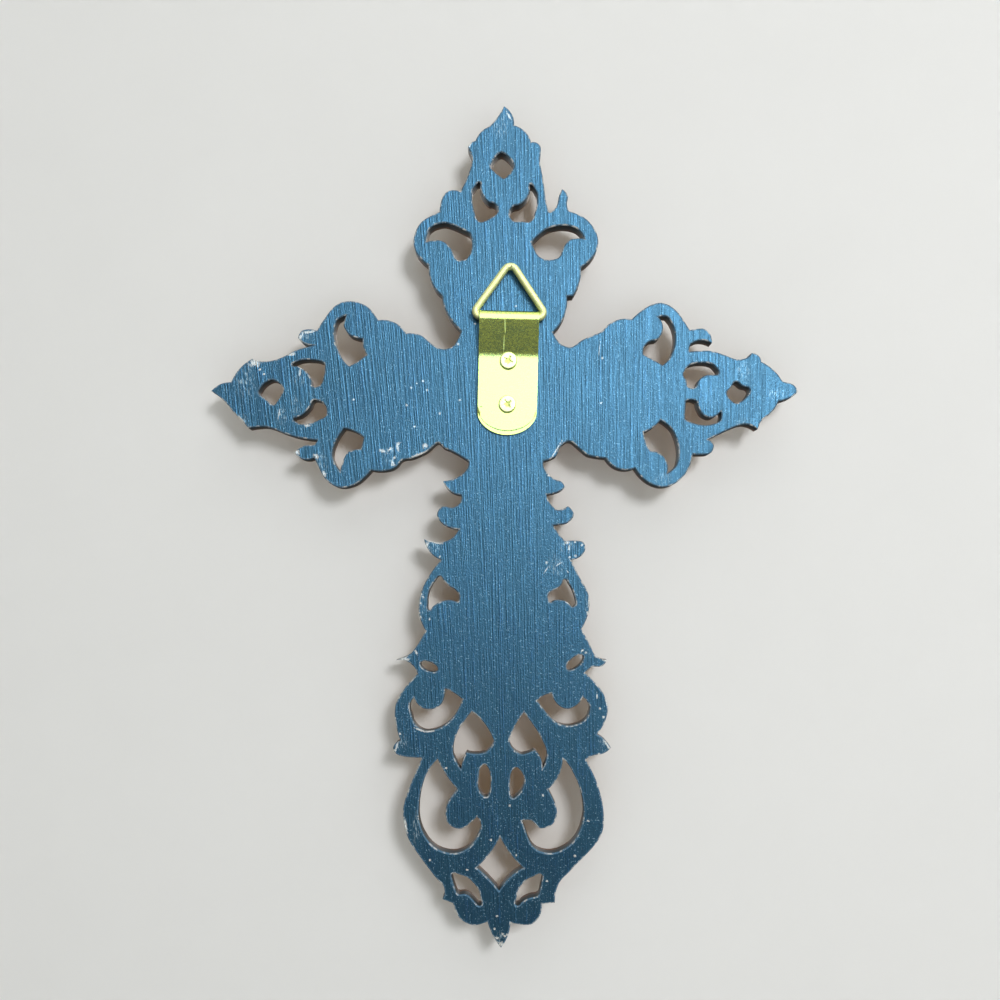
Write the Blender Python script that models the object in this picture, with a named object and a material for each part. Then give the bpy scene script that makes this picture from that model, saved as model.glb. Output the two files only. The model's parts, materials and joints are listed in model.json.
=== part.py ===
# Openwork wall cross with a folded strap hanger on its back.
#
# The cross is one casting: flat and ground level behind, carved in low relief
# in front. It hangs upright on a nail in the hanger's wire ring.
#
# Metres, +Z up, the carved front faces -Y and the flat back faces +Y.
# The origin is the inner top of the ring, where the nail bears.

import math

import bmesh
import bpy
import numpy as np
from mathutils import Vector
from mathutils.geometry import delaunay_2d_cdt

for leftover in list(bpy.data.objects):
    bpy.data.objects.remove(leftover)

# The cross: its height, and how deep the casting is at its edges and in its fields
CROSS_HEIGHT = 0.203
EDGE_DEPTH = 0.0042
BEAD_INSET = 0.0010
BEAD_RISE = 0.0013
FIELD_START = 0.0022
FIELD_END = 0.0085
FIELD_RISE = 0.0030

# Carved on the fields: a rosette on the crossing and a rib along each limb
ROSETTE_RADIUS = 0.0115
PETALS = 8
PETAL_RISE = 0.0018
BUTTON_RADIUS = 0.0034
BUTTON_RISE = 0.0022
RIB_WIDTH = 0.0046
RIB_RISE = 0.0014

# How finely round stretches are cut into straight ones
LONGEST_CHORD = 0.0031
LARGEST_TURN = math.radians(40)
FRONT_GRID = 0.0038

# The hanger: one folded brass sheet round a bent wire
STRAP_WIDTH = 0.0144
STRAP_FOOT = 0.00725
STRAP_END_DEPTH = 0.0060
UPPER_LEAF_SHORTER = 0.0010
SHEET = 0.0004
LEAF_GAP = 0.00015
SEAT_GAP = 0.0003
WIRE_DIAMETER = 0.0017
KNUCKLE_CLEARANCE = 0.00025
KNUCKLE_HANG = 0.0006
RING_DROP = 0.0113
RING_TOP_RADIUS = 0.0016
RING_CORNER_RADIUS = 0.0013
RING_CORNER_INSET = 0.0004
HANGER_LEAN = math.radians(-1.4)

# Its two screws, placed down the strap from the middle of the knuckle
UPPER_SCREW_DROP = 0.01035
SCREW_SPACING = 0.0104
SCREW_HEAD_DIAMETER = 0.00415
SCREW_HEAD_HEIGHT = 0.0012
SCREW_RIM_HEIGHT = 0.0003
SCREW_SHANK_DIAMETER = 0.0022
SCREW_LENGTH = 0.0066
SCREW_POINT = 0.0016
RECESS_SPAN = 0.0022
RECESS_WIDTH = 0.0005
RECESS_DEPTH = 0.0005
SCREW_HOLE_CLEARANCE = 0.0003
HEAD_OVER_SLOPE = 0.0008

# The drawing below is seen from behind: x to the right of the middle line and
# y up from the bottom tip. The whole cross is this many of its units tall.
DRAWN_HEIGHT = 842
NAIL_DRAWN = (6.4, 675.6)
CROSSING_DRAWN = (2, 555)
RIB_ENDS_DRAWN = [(0, 712), (168, 555), (-168, 555), (-3, 250)]

# The outline is a chain of runs. A run starts at a corner and ends at the next
# run's corner: alone it is a straight line, with one more point it is the arc
# through that point, and with several it is a smooth curve through them.
OUTLINE = [
    # Top limb, right side: spear tip, shoulder, spike, lobe and armpit
    [(0, 842), (8, 834)],
    [(10, 823), (20, 818)],
    [(27, 806), (35, 804)],
    [(37, 798), (36, 788), (39, 770), (42, 748)],
    [(45, 736), (52, 741), (55, 752)],
    [(58, 759), (64, 753), (63, 745)],
    [(65, 737), (80, 731), (92, 717), (94, 702), (87, 689)],
    [(77, 681), (75, 664)],
    [(69, 652.5)],
    [(63, 652), (61, 634)],
    # Right arm, upper edge out to its tip
    [(49, 616), (56, 605), (67, 601), (78, 608)],
    [(98, 617), (110, 627)],
    [(128, 629), (141, 640), (157, 645.5), (172, 638)],
    [(186, 618), (200, 619.5), (207, 613)],
    [(208, 605), (198, 608), (187, 604)],
    [(185.5, 596.5), (205, 597.5), (219, 594), (232, 589), (242, 590)],
    [(247.5, 595), (255, 592.5)],
    [(257.5, 586.5), (270, 578)],
    [(279, 567), (289, 564), (293.5, 557), (287, 550.5)],
    # Right arm, lower edge back to the stem
    [(275, 547), (268, 536)],
    [(259, 528.5)],
    [(254, 519), (242, 524), (228, 520)],
    [(204, 508.5), (210, 503), (206, 494.5)],
    [(189, 494), (184, 478), (172, 465), (157, 461), (141, 468)],
    [(131, 480), (114, 479.5)],
    [(102, 490), (84, 493), (74, 501), (65, 507), (56, 501), (52, 492)],
    # Stem, right side: three teeth
    [(39.5, 487), (40, 480), (48, 470.5)],
    [(58, 466), (60.5, 461), (54, 456)],
    [(42.5, 453.5), (46, 445), (54, 438)],
    [(64, 442), (70, 434), (64, 425.5)],
    [(49, 423), (55, 414)],
    [(61, 407), (70, 407.5)],
    [(79, 406.5), (81.5, 399), (76, 391)],
    # Foot, right side: swelling, spike, scroll, nub and ring
    [(67, 388), (75, 372), (85, 352), (84, 333)],
    [(77.5, 319), (85, 305)],
    [(91, 293)],
    [(103, 288), (98, 281.5), (88, 281)],
    [(81, 275), (95, 261), (104, 243), (101, 226)],
    [(93, 213.5), (102, 207)],
    [(107, 200), (100, 194.5), (88, 192)],
    [(82, 188), (92, 168), (99, 142), (99, 118), (91, 103), (73, 84)],
    [(56, 66), (52, 56)],
    [(51, 45)],
    [(38, 44), (36, 32), (26, 23)],
    # Bottom tip, and the left side back up
    [(6.5, 25), (3.5, 11)],
    [(-3, 0), (-10, 10)],
    [(-16.5, 26), (-30, 22.5), (-44, 29)],
    [(-51, 44.5)],
    [(-61.5, 48.5), (-59.5, 57)],
    [(-66, 67.5), (-82, 88), (-97, 112), (-101, 138), (-94, 162)],
    [(-82, 190), (-98, 191), (-108, 194)],
    [(-111, 200), (-108, 205)],
    [(-103.5, 207), (-108.5, 224), (-108.5, 243), (-100, 259)],
    [(-86.5, 274), (-93, 284)],
    [(-108, 288), (-94, 294), (-83, 309)],
    [(-78.5, 317.5), (-85, 333), (-83.5, 354), (-74, 374)],
    # Stem, left side: three teeth
    [(-63, 388), (-75, 397)],
    [(-80, 409), (-65, 405.5), (-52, 410)],
    [(-45.5, 418.5), (-60, 423), (-67, 433), (-62, 441.5), (-51, 440.5), (-43.5, 446)],
    [(-43, 453), (-54, 457)],
    [(-61, 467), (-48, 470), (-37, 479)],
    # Left arm, lower edge out to its tip
    [(-35.5, 487), (-50, 496), (-60, 500.5), (-66, 505.5), (-76, 497.5), (-90, 490.5)],
    [(-102, 488), (-110, 480), (-122, 477)],
    [(-133, 478), (-146, 465.5), (-163, 460.5), (-178, 468)],
    [(-190, 490.5), (-203, 489.5)],
    [(-210, 496), (-200, 502.5), (-190, 503.5)],
    [(-187, 508), (-205, 510.5), (-220, 515), (-238, 521.5)],
    [(-256, 520), (-263, 528)],
    [(-271, 536), (-279, 546)],
    # Left arm, upper edge back to the top limb
    [(-293, 557), (-284, 564)],
    [(-273, 566), (-266, 578)],
    [(-252, 589.5), (-240, 586.5), (-224, 590), (-208, 598)],
    [(-189.5, 603), (-202, 606)],
    [(-206, 610), (-203, 617), (-195, 619)],
    [(-187, 617.5), (-178, 632), (-166, 644.5), (-151, 647), (-136, 641)],
    [(-126, 628), (-110, 626)],
    [(-98, 615), (-84, 613.5), (-72, 604), (-61, 599), (-50, 603)],
    # Top limb, left side up to the spear tip
    [(-43, 617), (-54, 630), (-61, 645)],
    [(-62, 652), (-71, 663)],
    [(-75.5, 683), (-87, 694), (-90.5, 709), (-83, 726)],
    [(-64.5, 736.5), (-62, 750), (-55, 758)],
    [(-43.5, 757), (-36, 773), (-32, 789)],
    [(-36, 801), (-33, 806)],
    [(-28.5, 807.5), (-22, 817.5)],
    [(-14, 822.5), (-6, 832)],
]

# The openings, drawn the same way
OPENINGS = {
    "top diamond": [
        [(-3, 796), (5, 791)],
        [(10, 782), (6, 775)],
        [(0.5, 770), (-8, 775)],
        [(-13.5, 781.5), (-9, 791)],
    ],
    "top left crescent": [
        [(-24, 766), (-31.5, 758), (-30, 738), (-24.5, 726.5), (-13, 730.5)],
        [(-6.5, 736), (-8.5, 744)],
        [(-14.5, 746), (-21, 752.5)],
    ],
    "top right crescent": [
        [(26, 764), (33, 755), (31.5, 738), (26.5, 727), (17, 727)],
        [(9, 727.5), (5.5, 735)],
        [(9, 742), (20, 747)],
    ],
    "top left scroll": [
        [(-78.5, 706), (-74, 720), (-60, 725.5), (-46, 721)],
        [(-34, 715), (-32, 702), (-37, 690), (-47, 688.5), (-54, 701), (-64, 708)],
    ],
    "top right scroll": [
        [(27.5, 706), (42, 719), (60, 723), (74, 719)],
        [(80.5, 709.5), (67, 709), (59.5, 701), (55, 691), (43, 688.5), (34, 693)],
    ],
    "right diamond": [
        [(231.5, 566.5), (238, 562.5)],
        [(246, 558.5), (242, 550.5)],
        [(232, 545), (227, 548)],
        [(223, 555), (227.5, 561)],
    ],
    "right upper crescent": [
        [(179.5, 573), (185, 582.5), (199, 585.5), (210, 583)],
        [(215, 575), (201, 572.5), (195, 568)],
        [(192, 561.5)],
        [(184, 561.5), (182.5, 568)],
    ],
    "right lower crescent": [
        [(182, 547), (188, 548.5)],
        [(193, 546.5), (198, 534.5), (208, 530.5)],
        [(217, 536.5), (216, 527.5), (203, 523), (190, 525)],
        [(181, 529)],
    ],
    "right upper scroll": [
        [(154.5, 631), (163, 631.5), (170.5, 618), (170.5, 602), (165, 589)],
        [(158.5, 583), (149, 588.5)],
        [(139.5, 593.5), (144, 605.5)],
        [(152, 608), (158.5, 616)],
    ],
    "right lower scroll": [
        [(156.5, 528), (168, 519), (174.5, 500), (172.5, 483)],
        [(163, 474.5), (161, 490)],
        [(153, 496)],
        [(146.5, 497), (142, 506)],
        [(139.8, 516), (149, 520.5)],
    ],
    "left diamond": [
        [(-232, 568.5), (-225, 565)],
        [(-221, 558.5), (-225, 550)],
        [(-230.5, 543), (-238, 548)],
        [(-246, 555.5), (-241, 564)],
    ],
    "left upper crescent": [
        [(-212, 583), (-204, 588), (-188, 588)],
        [(-180, 585), (-180, 573)],
        [(-184, 563)],
        [(-192, 562), (-198, 576.5)],
    ],
    "left lower crescent": [
        [(-191, 548), (-182, 546)],
        [(-178, 533), (-190, 526), (-204, 524)],
        [(-211, 529), (-198.5, 536.5)],
    ],
    "left upper scroll": [
        [(-157.5, 633), (-167, 628), (-170, 610), (-162, 589.5)],
        [(-155, 582), (-146, 587)],
        [(-137.5, 593.5), (-141, 602)],
        [(-141.5, 609.5), (-154, 613), (-160.5, 623)],
    ],
    "left lower scroll": [
        [(-160, 520), (-150, 517)],
        [(-140.5, 511), (-141.5, 505)],
        [(-143.5, 499), (-156, 496), (-161.5, 486)],
        [(-164, 476.5), (-172, 491), (-168.5, 507)],
    ],
    "foot left triangle": [
        [(-64, 372), (-56, 363)],
        [(-49, 358.5)],
        [(-45, 353)],
        [(-46, 346.5), (-59, 347.5)],
        [(-75, 337.5), (-76, 353)],
    ],
    "foot right triangle": [
        [(60.5, 369), (69, 357)],
        [(71.5, 343)],
        [(69, 341), (57, 348)],
        [(45.5, 346), (44, 352)],
        [(47, 356.5), (54, 360)],
    ],
    "foot left scroll": [
        [(-59, 259.5), (-50, 255)],
        [(-41.5, 248.5), (-49, 233), (-62, 221), (-79, 217), (-90, 225)],
        [(-94.5, 243)],
        [(-90.5, 250), (-83, 240.5), (-71, 239), (-62, 245)],
    ],
    "foot right scroll": [
        [(47.5, 254.5), (53, 244), (63, 239), (73, 243)],
        [(79, 251), (86, 241), (81, 228), (65, 222), (50, 227)],
        [(33, 247), (40, 252.5)],
    ],
    "foot left leaf": [
        [(-32.5, 236.5), (-20, 225)],
        [(-10, 206.5), (-17, 196.5), (-29, 194)],
        [(-37.5, 195.5), (-41, 188)],
        [(-43, 178.5), (-51, 195), (-46.5, 216)],
    ],
    "foot right leaf": [
        [(20, 235.5), (35, 214), (43, 194)],
        [(38.5, 179), (35.5, 192)],
        [(30, 198), (18, 193.5), (8, 200)],
        [(5.5, 208), (11, 222)],
    ],
    "foot left slot": [
        [(-17, 151)],
        [(-25.5, 158.5), (-24.5, 178), (-19.5, 183.5), (-14.5, 177), (-13.8, 158)],
    ],
    "foot right slot": [
        [(8.5, 149.5), (5.8, 158), (7.5, 176), (13, 180.5), (20, 171)],
        [(19.5, 162), (15, 154)],
    ],
    "foot left loop": [
        [(-66.5, 189), (-58, 173)],
        [(-46.5, 158.5), (-57.5, 142), (-56.5, 125), (-43, 119)],
        [(-27, 131), (-23, 122), (-33, 102), (-51, 94.5), (-71, 101.5), (-84, 123),
         (-84.5, 150), (-77, 175)],
    ],
    "foot right loop": [
        [(59, 189), (66, 181), (77, 156), (79.5, 131), (70, 107), (50, 95), (30, 100)],
        [(18, 127), (27, 127.5), (36, 119.5), (49, 124), (53, 138)],
        [(44, 158.5), (54, 171)],
    ],
    "foot diamond": [
        [(-4, 111), (6, 94.5)],
        [(19.5, 80), (5, 69.5)],
        [(-5, 57), (-15, 68.5)],
        [(-27.5, 80), (-13, 96)],
    ],
    "bottom left leaf": [
        [(-52, 74), (-38, 71), (-25, 57)],
        [(-23.5, 42), (-30, 47), (-37, 53)],
        [(-46, 53.5), (-50, 62)],
    ],
    "bottom right leaf": [
        [(38, 73), (37, 62)],
        [(34, 52), (25, 49.5)],
        [(12.5, 42), (14, 57), (24, 69)],
    ],
}

# Two small openings are ovals: middle, half length, half width and tilt
OVALS = {
    "foot left oval": ((-75, 281.5), 9.3, 4.6, math.radians(-22)),
    "foot right oval": ((71, 285.5), 10.5, 5.0, math.radians(40)),
}

# Worked out from the sizes above
UNIT = CROSS_HEIGHT / DRAWN_HEIGHT
WIRE_RADIUS = WIRE_DIAMETER / 2
KNUCKLE_RADIUS = WIRE_RADIUS + KNUCKLE_CLEARANCE + SHEET / 2
LOWER_LEAF_Y = -KNUCKLE_RADIUS
UPPER_LEAF_Y = LOWER_LEAF_Y + SHEET + LEAF_GAP
STRAP_TOP_Y = UPPER_LEAF_Y + SHEET / 2
BACK_Y = LOWER_LEAF_Y - SHEET / 2 - SEAT_GAP
SCREW_DROPS = {"upper_screw": UPPER_SCREW_DROP, "lower_screw": UPPER_SCREW_DROP + SCREW_SPACING}
SCREW_HOLE_RADIUS = SCREW_SHANK_DIAMETER / 2 + SCREW_HOLE_CLEARANCE
SLOPE_RUN = UPPER_SCREW_DROP - SCREW_HEAD_DIAMETER / 2 + HEAD_OVER_SLOPE
STRAP_LENGTH = UPPER_SCREW_DROP + SCREW_SPACING + STRAP_FOOT


def new_material(name, colour, roughness, metallic):
    """A plain material in the colour of one finish."""
    material = bpy.data.materials.new(name)
    material.use_nodes = True
    shader = material.node_tree.nodes["Principled BSDF"]
    shader.inputs["Base Color"].default_value = (*colour, 1)
    shader.inputs["Roughness"].default_value = roughness
    shader.inputs["Metallic"].default_value = metallic
    return material


def new_object(name, data, material):
    """An object for one piece, in the scene."""
    data.materials.append(material)
    piece = bpy.data.objects.new(name, data)
    bpy.context.collection.objects.link(piece)
    return piece


def mesh_from_bmesh(name, bm):
    """The finished mesh of a bmesh, its faces pointing outwards."""
    bmesh.ops.recalc_face_normals(bm, faces=bm.faces)
    mesh = bpy.data.meshes.new(name)
    bm.to_mesh(mesh)
    bm.free()
    return mesh


# Curves of the drawing

def on_circle(centre, radius, angle):
    return centre + radius * Vector((math.cos(angle), math.sin(angle)))


def arc_through(start, middle, end):
    """Points of the circle's arc from start through middle to end."""
    steps = 24
    to_middle = middle - start
    to_end = end - start
    turn = to_middle.cross(to_end)
    if abs(turn) < 1e-9:
        return [start, middle, end]
    centre = start + Vector((
        to_end.y * to_middle.length_squared - to_middle.y * to_end.length_squared,
        to_middle.x * to_end.length_squared - to_end.x * to_middle.length_squared,
    )) / (2 * turn)
    first = math.atan2(start.y - centre.y, start.x - centre.x)
    last = math.atan2(end.y - centre.y, end.x - centre.x)
    swing = (last - first) % math.tau
    if turn < 0:
        swing -= math.tau
    radius = (start - centre).length
    return [on_circle(centre, radius, first + swing * i / steps) for i in range(steps + 1)]


def smooth_through(knots):
    """Points of a smooth curve through all the knots."""
    steps = 16
    before = 2 * knots[0] - knots[1]
    after = 2 * knots[-1] - knots[-2]
    line = [before, *knots, after]
    points = [knots[0]]
    for p, a, b, q in zip(line, line[1:], line[2:], line[3:]):
        span = (b - a).length
        leave = (b - p) * (span / ((b - a).length + (a - p).length))
        reach = (q - a) * (span / ((q - b).length + (b - a).length))
        for i in range(1, steps + 1):
            t = i / steps
            points.append(
                a * (2 * t ** 3 - 3 * t ** 2 + 1) + leave * (t ** 3 - 2 * t ** 2 + t)
                + b * (3 * t ** 2 - 2 * t ** 3) + reach * (t ** 3 - t ** 2)
            )
    return points


def even_points(curve):
    """A curve's points, thinned so that length and turning are shared out evenly."""
    need = [0.0]
    for before, at, after in zip([None, *curve], curve, curve[1:]):
        turn = 0.0 if before is None else abs((at - before).angle(after - at, 0.0))
        need.append(need[-1] + (after - at).length / LONGEST_CHORD + turn / LARGEST_TURN)
    count = max(1, math.ceil(need[-1]))
    stations = np.linspace(0, need[-1], count + 1)[:-1]
    xs = np.interp(stations, need, [p.x for p in curve])
    ys = np.interp(stations, need, [p.y for p in curve])
    return list(zip(xs, ys))


def on_cross(drawn):
    """A point of the drawing as a place in the plane of the cross: (X, Z)."""
    return Vector((NAIL_DRAWN[0] - drawn[0], drawn[1] - NAIL_DRAWN[1])) * UNIT


def loop_from_runs(runs):
    """The closed line of a chain of runs."""
    loop = []
    for run, following in zip(runs, runs[1:] + runs[:1]):
        knots = [on_cross(point) for point in run] + [on_cross(following[0])]
        if len(knots) == 2:
            curve = knots
        elif len(knots) == 3:
            curve = arc_through(*knots)
        else:
            curve = smooth_through(knots)
        loop.extend(even_points(curve))
    return np.array(loop)


def oval_loop(centre, half_length, half_width, tilt):
    """The closed line of an oval opening."""
    sides = 14
    loop = []
    for i in range(sides):
        along = half_length * math.cos(math.tau * i / sides)
        across = half_width * math.sin(math.tau * i / sides)
        x = centre[0] + along * math.cos(tilt) - across * math.sin(tilt)
        y = centre[1] + along * math.sin(tilt) + across * math.cos(tilt)
        loop.append(on_cross((x, y)))
    return np.array(loop)


# The carved plate

def signed_area(loop):
    ahead = np.roll(loop, -1, axis=0)
    return 0.5 * np.sum(loop[:, 0] * ahead[:, 1] - ahead[:, 0] * loop[:, 1])


def edge_distance(points, loops):
    """How far each point is from the nearest edge of the plate."""
    nearest = np.full(len(points), np.inf)
    for loop in loops:
        start = loop[None]
        span = np.roll(loop, -1, axis=0)[None] - start
        offset = points[:, None] - start
        share = np.clip((offset * span).sum(2) / (span * span).sum(2), 0, 1)
        gap = np.linalg.norm(offset - share[..., None] * span, axis=2)
        nearest = np.minimum(nearest, gap.min(axis=1))
    return nearest


def on_material(points, loops):
    """Whether each point lies on the plate and not in an opening."""
    crossings = np.zeros(len(points), int)
    for loop in loops:
        a = loop[None]
        b = np.roll(loop, -1, axis=0)[None]
        x = points[:, None, 0]
        y = points[:, None, 1]
        spans = (a[..., 1] > y) != (b[..., 1] > y)
        rise = np.where(b[..., 1] == a[..., 1], 1, b[..., 1] - a[..., 1])
        hits = a[..., 0] + (y - a[..., 1]) * (b[..., 0] - a[..., 0]) / rise > x
        crossings += (spans & hits).sum(axis=1)
    return crossings % 2 == 1


def inset_points(loops, inset):
    """Points beside every edge, at one distance into the material."""
    points = []
    for index, loop in enumerate(loops):
        ahead = np.roll(loop, -1, axis=0) - np.roll(loop, 1, axis=0)
        inward = np.column_stack((-ahead[:, 1], ahead[:, 0]))
        inward /= np.linalg.norm(inward, axis=1)[:, None]
        if (signed_area(loop) > 0) != (index == 0):
            inward = -inward
        points.append(loop + inward * inset)
    points = np.vstack(points)
    not_nearer_another_edge = edge_distance(points, loops) > 0.93 * inset
    return points[not_nearer_another_edge & on_material(points, loops)]


def grid_points(loops, spacing, margin):
    """Points in staggered rows all over the plate, away from its edges."""
    low = loops[0].min(axis=0)
    high = loops[0].max(axis=0)
    row_height = spacing * math.sqrt(3) / 2
    rows = int((high[1] - low[1]) / row_height)
    columns = int((high[0] - low[0]) / spacing)
    points = np.array([
        (low[0] + (column + 0.5 * (row % 2)) * spacing, low[1] + row * row_height)
        for row in range(rows + 1)
        for column in range(columns + 1)
    ])
    return points[on_material(points, loops) & (edge_distance(points, loops) > margin)]


def rib_points():
    """Points along the crest and the two feet of every rib, and at its round tip."""
    points = []
    crossing = on_cross(CROSSING_DRAWN)
    for end in RIB_ENDS_DRAWN:
        along = (on_cross(end) - crossing).normalized()
        side = Vector((-along.y, along.x)) * RIB_WIDTH / 2
        reach = (on_cross(end) - crossing).length
        first = ROSETTE_RADIUS + RIB_WIDTH / 2
        for distance in np.linspace(first, reach, 1 + round((reach - first) / FRONT_GRID)):
            crest = crossing + along * distance
            points += [crest, crest - side, crest + side]
        points.append(crest + along * RIB_WIDTH / 2)
    return np.array(points)


def rosette_points():
    """Points in rings about the crossing: button, petals and the field beside them."""
    crossing = on_cross(CROSSING_DRAWN)
    petal_length = ROSETTE_RADIUS - BUTTON_RADIUS
    rings = [BUTTON_RADIUS / 2, BUTTON_RADIUS]
    rings += [BUTTON_RADIUS + share * petal_length for share in (0.35, 0.7, 0.9, 1.1)]
    angles = [math.pi * i / PETALS for i in range(2 * PETALS)]
    points = [crossing]
    for radius in rings:
        points += [on_circle(crossing, radius, angle) for angle in angles]
    return np.array(points)


def spaced_out(points, kept, least):
    """The kept points and those of the others that crowd none kept before."""
    kept = list(kept)
    for point in points:
        if not kept or np.min(np.linalg.norm(np.array(kept) - point, axis=1)) > least:
            kept.append(point)
    return np.array(kept)


def smooth_step(value, start, end):
    share = np.clip((value - start) / (end - start), 0, 1)
    return share * share * (3 - 2 * share)


def dome(share):
    """Height of a half round from its middle, 0, to its foot, 1."""
    return np.sqrt(np.clip(1 - share * share, 0, 1))


def rib_rise(points):
    """Height of the half-round ribs that run out from the crossing."""
    start = np.array(on_cross(CROSSING_DRAWN))
    rise = np.zeros(len(points))
    for end in RIB_ENDS_DRAWN:
        span = np.array(on_cross(end)) - start
        share = np.clip((points - start) @ span / (span @ span), 0, 1)
        off = np.linalg.norm(points - start - share[:, None] * span, axis=1)
        rise = np.maximum(rise, RIB_RISE * dome(off / (RIB_WIDTH / 2)))
    return rise


def rosette_rise(points):
    """Height of the rosette: a round button, and petals that swell and sink round it."""
    offset = points - np.array(on_cross(CROSSING_DRAWN))
    radius = np.linalg.norm(offset, axis=1)
    angle = np.arctan2(offset[:, 1], offset[:, 0])
    groove = 0.25
    ridge = groove + (1 - groove) * np.abs(np.cos(PETALS / 2 * angle))
    along = (radius - BUTTON_RADIUS) / (ROSETTE_RADIUS - BUTTON_RADIUS)
    petal = dome(np.clip(2 * along - 1, -1, 1)) * ridge
    return PETAL_RISE * petal + BUTTON_RISE * dome(radius / BUTTON_RADIUS)


def front_depth(points, loops):
    """Depth of the carved front under the back: a bead along every edge, crowned
    fields inside it, a rib along each limb and a rosette on the crossing."""
    edge = edge_distance(points, loops)
    bead = BEAD_RISE * np.clip(1 - (edge / BEAD_INSET - 1) ** 2, 0, 1)
    field = FIELD_RISE * smooth_step(edge, FIELD_START, FIELD_END)
    from_crossing = np.linalg.norm(points - np.array(on_cross(CROSSING_DRAWN)), axis=1)
    rib = np.where(from_crossing > ROSETTE_RADIUS, rib_rise(points), 0)
    return EDGE_DEPTH + bead + field + rib + rosette_rise(points)


def triangles_between(points, loops, all_loops):
    """Triangles that fill the plate: every loop is kept as an edge."""
    edges = []
    first = 0
    for loop in loops:
        count = len(loop)
        edges.extend((first + i, first + (i + 1) % count) for i in range(count))
        first += count
    coordinates, _, faces, origins, _, _ = delaunay_2d_cdt(
        [Vector(point) for point in points], edges, [], 0, 1e-9
    )
    own = [origin[0] for origin in origins]
    faces = [[own[corner] for corner in face] for face in faces]
    middles = np.array([points[face].mean(axis=0) for face in faces])
    return [face for face, inside in zip(faces, on_material(middles, all_loops)) if inside]


def cross_mesh():
    """The casting: flat back, upright edges, carved front and two screw holes."""
    loops = [loop_from_runs(OUTLINE)]
    loops += [loop_from_runs(runs) for runs in OPENINGS.values()]
    loops += [oval_loop(*oval) for oval in OVALS.values()]
    edge_points = np.vstack(loops)

    screw_loops = [screw_hole_loop(drop) for drop in SCREW_DROPS.values()]
    back_loops = loops + screw_loops
    back_points = np.vstack(back_loops)
    hole_depth = SCREW_LENGTH - (STRAP_TOP_Y - BACK_Y) + SCREW_HOLE_CLEARANCE

    bead_points = np.vstack((inset_points(loops, BEAD_INSET), inset_points(loops, 2 * BEAD_INSET)))
    carving = spaced_out(bead_points, np.vstack((rosette_points(), rib_points())), 0.8 * BEAD_INSET)
    field_points = grid_points(loops, FRONT_GRID, 2 * BEAD_INSET + FRONT_GRID / 2)
    carving = spaced_out(field_points, carving, FRONT_GRID / 2)
    front_points = np.vstack((edge_points, carving))
    depths = front_depth(front_points, loops)
    depths[:len(edge_points)] = EDGE_DEPTH

    bm = bmesh.new()
    back = [bm.verts.new((x, BACK_Y, z)) for x, z in back_points]
    front = [bm.verts.new((x, BACK_Y - depth, z)) for (x, z), depth in zip(front_points, depths)]
    for a, b, c in triangles_between(back_points, back_loops, back_loops):
        bm.faces.new((back[c], back[b], back[a]))
    for a, b, c in triangles_between(front_points, loops, loops):
        bm.faces.new((front[a], front[b], front[c]))
    first = 0
    for loop in loops:
        for i in range(len(loop)):
            a, b = first + i, first + (i + 1) % len(loop)
            bm.faces.new((back[a], back[b], front[b], front[a]))
        first += len(loop)
    for loop in screw_loops:
        rim = back[first:first + len(loop)]
        floor = [bm.verts.new(vert.co - Vector((0, hole_depth, 0))) for vert in rim]
        for i in range(len(loop)):
            j = (i + 1) % len(loop)
            bm.faces.new((rim[i], rim[j], floor[j], floor[i]))
        bm.faces.new(floor)
        first += len(loop)
    return mesh_from_bmesh("cross", bm)


def screw_hole_loop(drop):
    """The round edge of a screw's hole in the back."""
    sides = 12
    down_the_strap = Vector((-math.sin(HANGER_LEAN), -math.cos(HANGER_LEAN)))
    centre = down_the_strap * (RING_DROP + drop)
    return np.array([on_circle(centre, SCREW_HOLE_RADIUS, math.tau * i / sides) for i in range(sides)])


# The hanger, drawn about the middle of its knuckle: x across, y off the wall, z up

def strap_section():
    """The folded sheet's middle line in (z, y): lower leaf, knuckle, upper leaf."""
    steps = 12
    knuckle = [
        on_circle(Vector((0, 0)), KNUCKLE_RADIUS, angle)
        for angle in np.linspace(-math.pi / 2, math.pi / 2, steps + 1)
    ]
    slope_head = Vector((-KNUCKLE_HANG, KNUCKLE_RADIUS))
    slope_foot = Vector((-SLOPE_RUN, UPPER_LEAF_Y))
    lower_end = Vector((-STRAP_LENGTH, LOWER_LEAF_Y))
    upper_end = Vector((UPPER_LEAF_SHORTER - STRAP_LENGTH, UPPER_LEAF_Y))
    return [lower_end, *knuckle, slope_head, slope_foot, upper_end]


def thickened(line, thickness):
    """The closed outline of a sheet whose middle line is given."""
    directions = [(after - at).normalized() for at, after in zip(line, line[1:])]
    outer, inner = [], []
    for point, before, after in zip(line, [directions[0], *directions], [*directions, directions[-1]]):
        along = (before + after).normalized()
        side = Vector((along.y, -along.x)) * thickness / 2 / along.dot(after)
        outer.append(point + side)
        inner.append(point - side)
    return outer + inner[::-1]


def strap_mesh():
    """The strap: the folded section across its width, both leaves round at the foot."""
    stations = 13
    line = strap_section()
    section = thickened(line, SHEET)
    count = len(section)
    leaf_ends = {0, len(line) - 1, len(line), count - 1}
    bm = bmesh.new()
    rows = []
    for turn in np.linspace(-math.pi / 2, math.pi / 2, stations):
        x = STRAP_WIDTH / 2 * math.sin(turn)
        lift = STRAP_END_DEPTH * (1 - math.cos(turn))
        rows.append([
            bm.verts.new((x, y, z + lift if i in leaf_ends else z))
            for i, (z, y) in enumerate(section)
        ])
    for row, following in zip(rows, rows[1:]):
        for i in range(count):
            j = (i + 1) % count
            bm.faces.new((row[i], row[j], following[j], following[i]))
    bm.faces.new(rows[0])
    bm.faces.new(rows[-1])
    return mesh_from_bmesh("hanger_strap", bm)


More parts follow.
